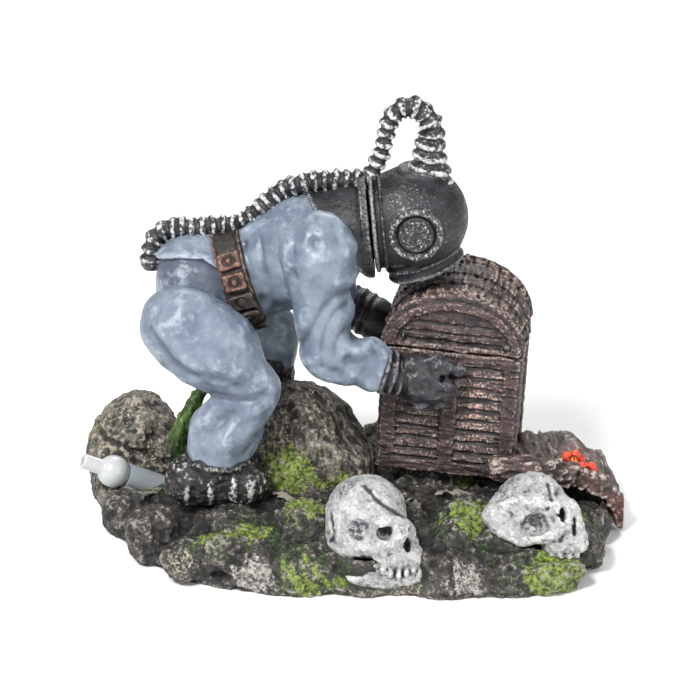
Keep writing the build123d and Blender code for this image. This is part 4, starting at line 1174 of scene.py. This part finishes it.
def build_skulls():
    """Two generic worn skulls; the near one keeps its lower jaw."""
    c = Clay((-8.5, -44, 0.4), (21.5, -19, 27.5), 0.27)
    c.d = c.egg((4, -30, 15.8), (9.8, 9.4, 9.9))
    c.add(c.egg((2.6, -31.5, 13), (8.4, 7.4, 7)), 2)
    c.add(c.limb((9.6, -34, 13.6), (12.6, -35.5, 8), 4.4, 3.6), 2)
    brow = ((8, -38.4, 18.6), (11.5, -37.4, 17.6), (14.2, -35.8, 15), (14.8, -35.4, 12.6))
    cheek = ((-4.8, -33.5, 10), (-0.7, -37.4, 10), (4.7, -39, 11.4), (9.6, -39.6, 12.6))
    jaw = ((-3.6, -34, 8.8), (-2.4, -36.4, 6), (0.6, -38.6, 3.4), (7.6, -40.4, 3))
    skull(
        c,
        (
            (*brow, (16.4, -36.4, 8.6), 1.15),
            (*cheek, (12.2, -39.4, 14.6), 1.35),
            (*jaw, (15, -39.6, 3.4), (18.2, -37, 4.4), 1.9),
            ((6.8, -38.6, 8.4), (10.6, -39.8, 8.2), (15, -38.8, 8), 1.9),
        ),
        (
            ((1.5, -39, 15.9), (3.4, 2.2, 3.1), -0.6), ((8.3, -40, 15.8), (1.9, 2.4, 1.75), 0.2),
            ((0.9, -39, 7.6), (2.6, 2.4, 1.1), 0.8), ((5.2, -41, 8.4), (1.9, 2.2, 1.2), 0.6),
            ((1.4, -40, 5.4), (3, 2, 1.1), 0.6), ((13.6, -40, 12.4), (0.9, 1.8, 1.9), 0.4),
        ),
        (
            (8, -40.6, 6.6, 1.3), (9.8, -41.2, 5.7, 1.6), (11.8, -41.3, 5.3, 1.7),
            (13.6, -41, 5.7, 1.5), (15.3, -40.2, 5.9, 1.3),
        ),
        201,
    )
    c.press([(3.4, -32, 24.6), (6.6, -35, 22.2), (9.6, -37, 20.8), (12.4, -38, 19.2)], 0.55, 0.7)
    c.press([(-4.6, -34, 18), (-4, -36, 14), (-4.6, -35, 11.4)], 0.6, 0.4)
    # Painted shade in the eye sockets, the nose, along the cracks and under the jaw.
    skull_shade = spots(
        ((1.5, -38.6, 16), 3.3, SHADE_GREY, 0.5, 0.5), ((8.3, -38.5, 15.8), 1.7, SHADE_GREY, 0.5, 0.62),
        ((2.2, -38.5, 6.4), 4.4, SHADE_GREY, 0.5, 0.58), ((8, -41, 2), 8, SHADE_GREY, 0.3, 0.5),
        ((-1, -31, 24), 4.2, SHADE_GREY, 0.5, 0.56), ((12, -37.4, 21), 3, SHADE_GREY, 0.5, 0.45),
        ((14.6, -37, 10.6), 2.6, SHADE_GREY, 0.5, 0.5),
    )
    c.piece("front_skull", BONE, skull_shade, 0.5, 1.5)

    c = Clay((30.8, -42, 2), (60, -16, 26.6), 0.27)
    c.d = c.egg((44.6, -26.2, 16), (9, 8.4, 8.7))
    c.add(c.egg((40, -29, 15.2), (7, 6.2, 5.6)), 2)
    c.add(c.limb((51, -29, 17), (53.6, -31, 11), 3.8, 3.2), 1.6)
    brow = ((34.2, -31.5, 16.8), (37.4, -33, 19.8), (41.5, -33.6, 21.4), (46.2, -33.8, 20.8))
    cheek = ((34.2, -32, 16), (36.6, -33.8, 13.6), (38.6, -34.6, 12.2), (42, -35.4, 11.4))
    nose = ((46.6, -35.8, 12.4), (50.6, -35, 14.2), (53, -33.4, 16.8), (53.2, -32, 19))
    skull(
        c,
        (
            (*brow, (49.6, -33.2, 19.6), 1.1),
            (*cheek, *nose, 1.15),
            ((54, -31.4, 18), (55.3, -32.6, 13.8), (56, -33.4, 10.4), 1.3),
            ((48.4, -34, 9.6), (52, -34.6, 9.4), (55.4, -33.8, 9.6), 1.8),
        ),
        (
            ((45, -36, 15.9), (3.7, 2.2, 2.9), -0.5), ((51.4, -35, 18), (0.85, 2.2, 1.9), 0.4),
            ((46, -37, 9), (2.3, 2.4, 1.6), 0.8), ((54.3, -34, 14.6), (0.6, 1.6, 2.4), 0.3),
        ),
        (
            (49.2, -35.2, 7.9, 1.3), (51.2, -35.6, 7.5, 1.3), (53.2, -35.4, 7.3, 1.3),
            (55, -34.8, 7.6, 1.3),
        ),
        211,
    )
    c.press([(48, -29, 23.4), (48.8, -32, 21.2), (47.6, -34, 19)], 0.55, 0.6)
    c.within(4.6 - c.z)
    # Painted shade in the eye sockets, the nose and about the teeth, with darker blotches on the dome
    # and cheek.
    skull_shade = spots(
        ((45, -35, 15.8), 3.6, SHADE_GREY, 0.5, 0.52), ((51.4, -33.6, 18), 1.6, SHADE_GREY, 0.5, 0.62),
        ((46, -35, 9), 3.2, SHADE_GREY, 0.5, 0.6), ((38, -27, 22.5), 4, SHADE_GREY, 0.5, 0.55),
        ((52.5, -33.6, 9), 3.4, SHADE_GREY, 0.5, 0.42), ((36.2, -32, 15.4), 2.8, SHADE_GREY, 0.5, 0.4),
    )
    c.piece("right_skull", BONE, skull_shade, 0.5, 1.5)


def build_growth():
    """Driftwood, coral and weed."""
    c = Clay((29, -12.5, 0.8), (68.9, 16.5, 21), 0.38)
    axis = unit((0.12, -1, 0))
    across = (c.x - 48.6) * -axis[1] + (c.y - 14) * axis[0]
    theta = np.arctan2(c.z, across)
    radial = np.sqrt((across / 18.6) ** 2 + (c.z / 17.1) ** 2)
    c.d = (np.abs(radial - 1) - 0.125) * 17.0
    deep = (c.x - 48.6) * axis[0] + (c.y - 14) * axis[1]
    c.within(np.abs(deep - 12) - 11.6 + 1.6 * c.noise(4, 184, 2))
    lip = np.maximum(np.abs(deep - 22.6) - 1.6, (np.abs(radial - 1) - 0.14) * 17)
    c.add(lip, 1)
    c.within((45.0 - c.x) - 0.35 * c.z)
    c.d += 1.7 * c.noise(5, 181, 3, (0.9, 1.7, 0.9)) + 0.1
    c.d += 0.45 * c.noise(1.5, 182, 3, (0.7, 2.5, 0.7))
    c.d += 0.3 * smooth_step(np.abs(np.sin(theta * 11 + 0.8 * c.noise(6, 187, 1))), 0.8, 1)
    c.pits(1.3, 183, 0.12, 0.7)
    c.within(1.0 - c.z)
    rust = (92, 48, 38)
    colours = spots(((66, -8, 6), 6, rust, 0.6, 0.55), ((58, 4, 17), 7, (88, 52, 42), 0.6, 0.5))
    c.piece("driftwood_bark", DRIFTWOOD, colours, 0.6, 1.8)

    c = Clay((32.5, -18, 13.5), (58, -5, 25), 0.32)
    c.d = c.limb((36.8, -13.2, 20.4), (45, -13.4, 20.2), 3.1, 3.5)
    c.add(c.limb((45, -13.4, 20.2), (53.6, -9.6, 17.4), 3.6, 3), 1)
    c.add(c.limb((48, -13, 20), (50, -14.6, 21.8), 1.6, 1), 0.8)
    c.d += 0.9 * c.noise(1.5, 185, 3, (3, 0.8, 0.7)) + 0.8 * c.noise(4, 186, 2)
    c.piece("driftwood_branch", DRIFTWOOD, None, 0.5, 1.4)

    c = Clay((53, -10.8, 10.5), (65.6, 0, 22), 0.26)
    polyps = ((56.2, -4.6, 19, 3), (59.6, -6.8, 16.8, 3.1), (63, -6.4, 13.8, 1.6))
    for i, (x, y, z, r) in enumerate(polyps):
        petals = c.ball((x, y, z), r * 0.7)
        for k in range(5):
            a = 2 * PI * k / 5 + i
            right, up = r * math.cos(a), r * math.sin(a)
            spot = (x + 0.62 * right, y - 0.35 * up, z + 0.62 * up)
            petals = join(petals, c.ball(spot, r * 0.45), 0.4)
        mouth = c.egg((x, y - 0.75 * r, z + 0.35 * r), (r * 0.32, r * 0.4, r * 0.32))
        c.merge(cut(petals, mouth, 0.4))
    c.d += 0.2 * c.noise(1.2, 188, 2)
    yolk = (238, 150, 76)
    centres = spots(
        ((56.4, -5.6, 19.4), 1.2, yolk, 0.5, 0.55), ((59.6, -8.2, 17.2), 1.3, yolk, 0.5, 0.55)
    )
    c.piece("coral_polyps", CORAL, centres, 0.4, 1, small=60)

    c = Clay((-51.5, 3.4, 8.4), (-33.4, 10.8, 36.6), 0.28)
    stem = [(-47, 5.8, 9), (-45.6, 6, 16), (-42.6, 6.6, 24), (-38.6, 7.4, 31.6)]
    leaf = smooth_route([*stem, (-36.5, 7.6, 35.6)])
    away, run = c.route(leaf)
    width = np.interp(run, (0, 8, 18, 26, 29), (3, 3.1, 2.7, 1.8, 1))
    c.d = away - width * 0.8
    for k in range(9):
        a, side = 3 + 2.9 * k, (-1) ** k
        i = min(int(a / 29 * (len(leaf) - 1)), len(leaf) - 2)
        base, ahead = leaf[i], unit(leaf[i + 1] - leaf[i])
        out = np.cross(ahead, (0, 1, 0)) * side
        tip = base + out * (2.3 - 0.12 * k) + ahead * 1.8
        c.add(c.limb(base, tip, 1.1, 0.6), 0.5)
    c.d += 0.6 * c.noise(1.5, 191, 3, (0.7, 0.7, 2.2))
    c.piece("seaweed", WEED, None, 0.4, 1.2)


def build_air_line():
    """The nozzle is a ring of (distance, radius) pairs turned about the air inlet's axis."""
    ball = [(13.5 + 4.1 * math.sin(a), 4.1 * math.cos(a)) for a in np.linspace(-1, 1, 19)]
    profile = [(3, 1.9), (3.3, 2), (9.2, 2), (9.9, 2.05), *ball, (17.4, 1.95), (21.6, 1.95)]
    profile += [(22.2, 1.8), (22.45, 1.55), (22.4, 1.15), (21.8, 1.1), (3, 1.1)]
    axis = Vector(INLET_AXIS).normalized()
    side = axis.orthogonal().normalized()
    other = axis.cross(side)
    turns, rows = 48, len(profile)
    verts = []
    for distance, radius in profile:
        for a in 2 * PI * np.arange(turns) / turns:
            spoke = side * math.cos(a) + other * math.sin(a)
            verts.append((Vector(INLET_POINT) + axis * distance + spoke * radius) * MM)
    faces = []
    for r in range(rows):
        for k in range(turns):
            s, n = (r + 1) % rows * turns, (k + 1) % turns
            faces.append((r * turns + k, r * turns + n, s + n, s + k))
    mesh = bpy.data.meshes.new("inlet_nozzle_skin")
    mesh.from_pydata(verts, [], faces)
    if sum(f.center.dot(f.normal) * f.area for f in mesh.polygons) < 0:
        mesh.flip_normals()
    mesh.shade_smooth()
    settle(mesh, "inlet_nozzle", PLASTIC)


build_rocks()
build_suit()
build_boots()
build_gloves()
build_belt()
build_helmet()
build_hoses()
build_chest()
build_skulls()
build_growth()
build_air_line()

for node, material in (("air_tube", TUBING), ("air_riser", PLASTIC), ("hinge_pin", STEEL)):
    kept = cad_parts[node].data
    kept.materials.clear()
    kept.materials.append(material)
    kept.shade_smooth()

# ---- stage --------------------------------------------------------------------------------
def lamp(name, place, size, power):
    data = bpy.data.lights.new(name, "AREA")
    data.shape, data.size, data.energy = "DISK", size, power
    look = Vector((0, 0, 0.045)) - Vector(place)
    put(name, data, place, look.to_track_quat("-Z", "Y").to_euler())


floor = bpy.data.meshes.new("floor")
floor.from_pydata([(-3, -3, 0), (3, -3, 0), (3, 3, 0), (-3, 3, 0)], [], [(0, 1, 2, 3)])
paper = Paint("floor_paper")
white = paper.mix(paper.noise(60), rgb(246, 246, 246), rgb(250, 250, 250))
paper.fill(paper.shader, {"Base Color": white, "Roughness": 0.9})
floor.materials.append(paper.material)
put("floor", floor)

world = bpy.data.worlds.new("studio")
bpy.context.scene.world = world
world.use_nodes = True
world.node_tree.nodes["Background"].inputs["Color"].default_value = (1, 1, 1, 1)
world.node_tree.nodes["Background"].inputs["Strength"].default_value = 0.36
lamp("key", (-0.30, -0.45, 0.62), 0.26, 8)
lamp("fill", (0.55, -0.45, 0.35), 0.45, 2.6)
lamp("back", (0.1, 0.6, 0.6), 0.5, 3.6)

camera = bpy.data.cameras.new("camera")
camera.lens, camera.sensor_width = 127.5, 36.0
camera.clip_start, camera.clip_end = 0.01, 20.0
view = put("camera", camera, (0, -0.5749, 0.2793), (math.radians(68), 0, 0))
bpy.context.scene.camera = view
bpy.context.scene.view_settings.view_transform = "Standard"
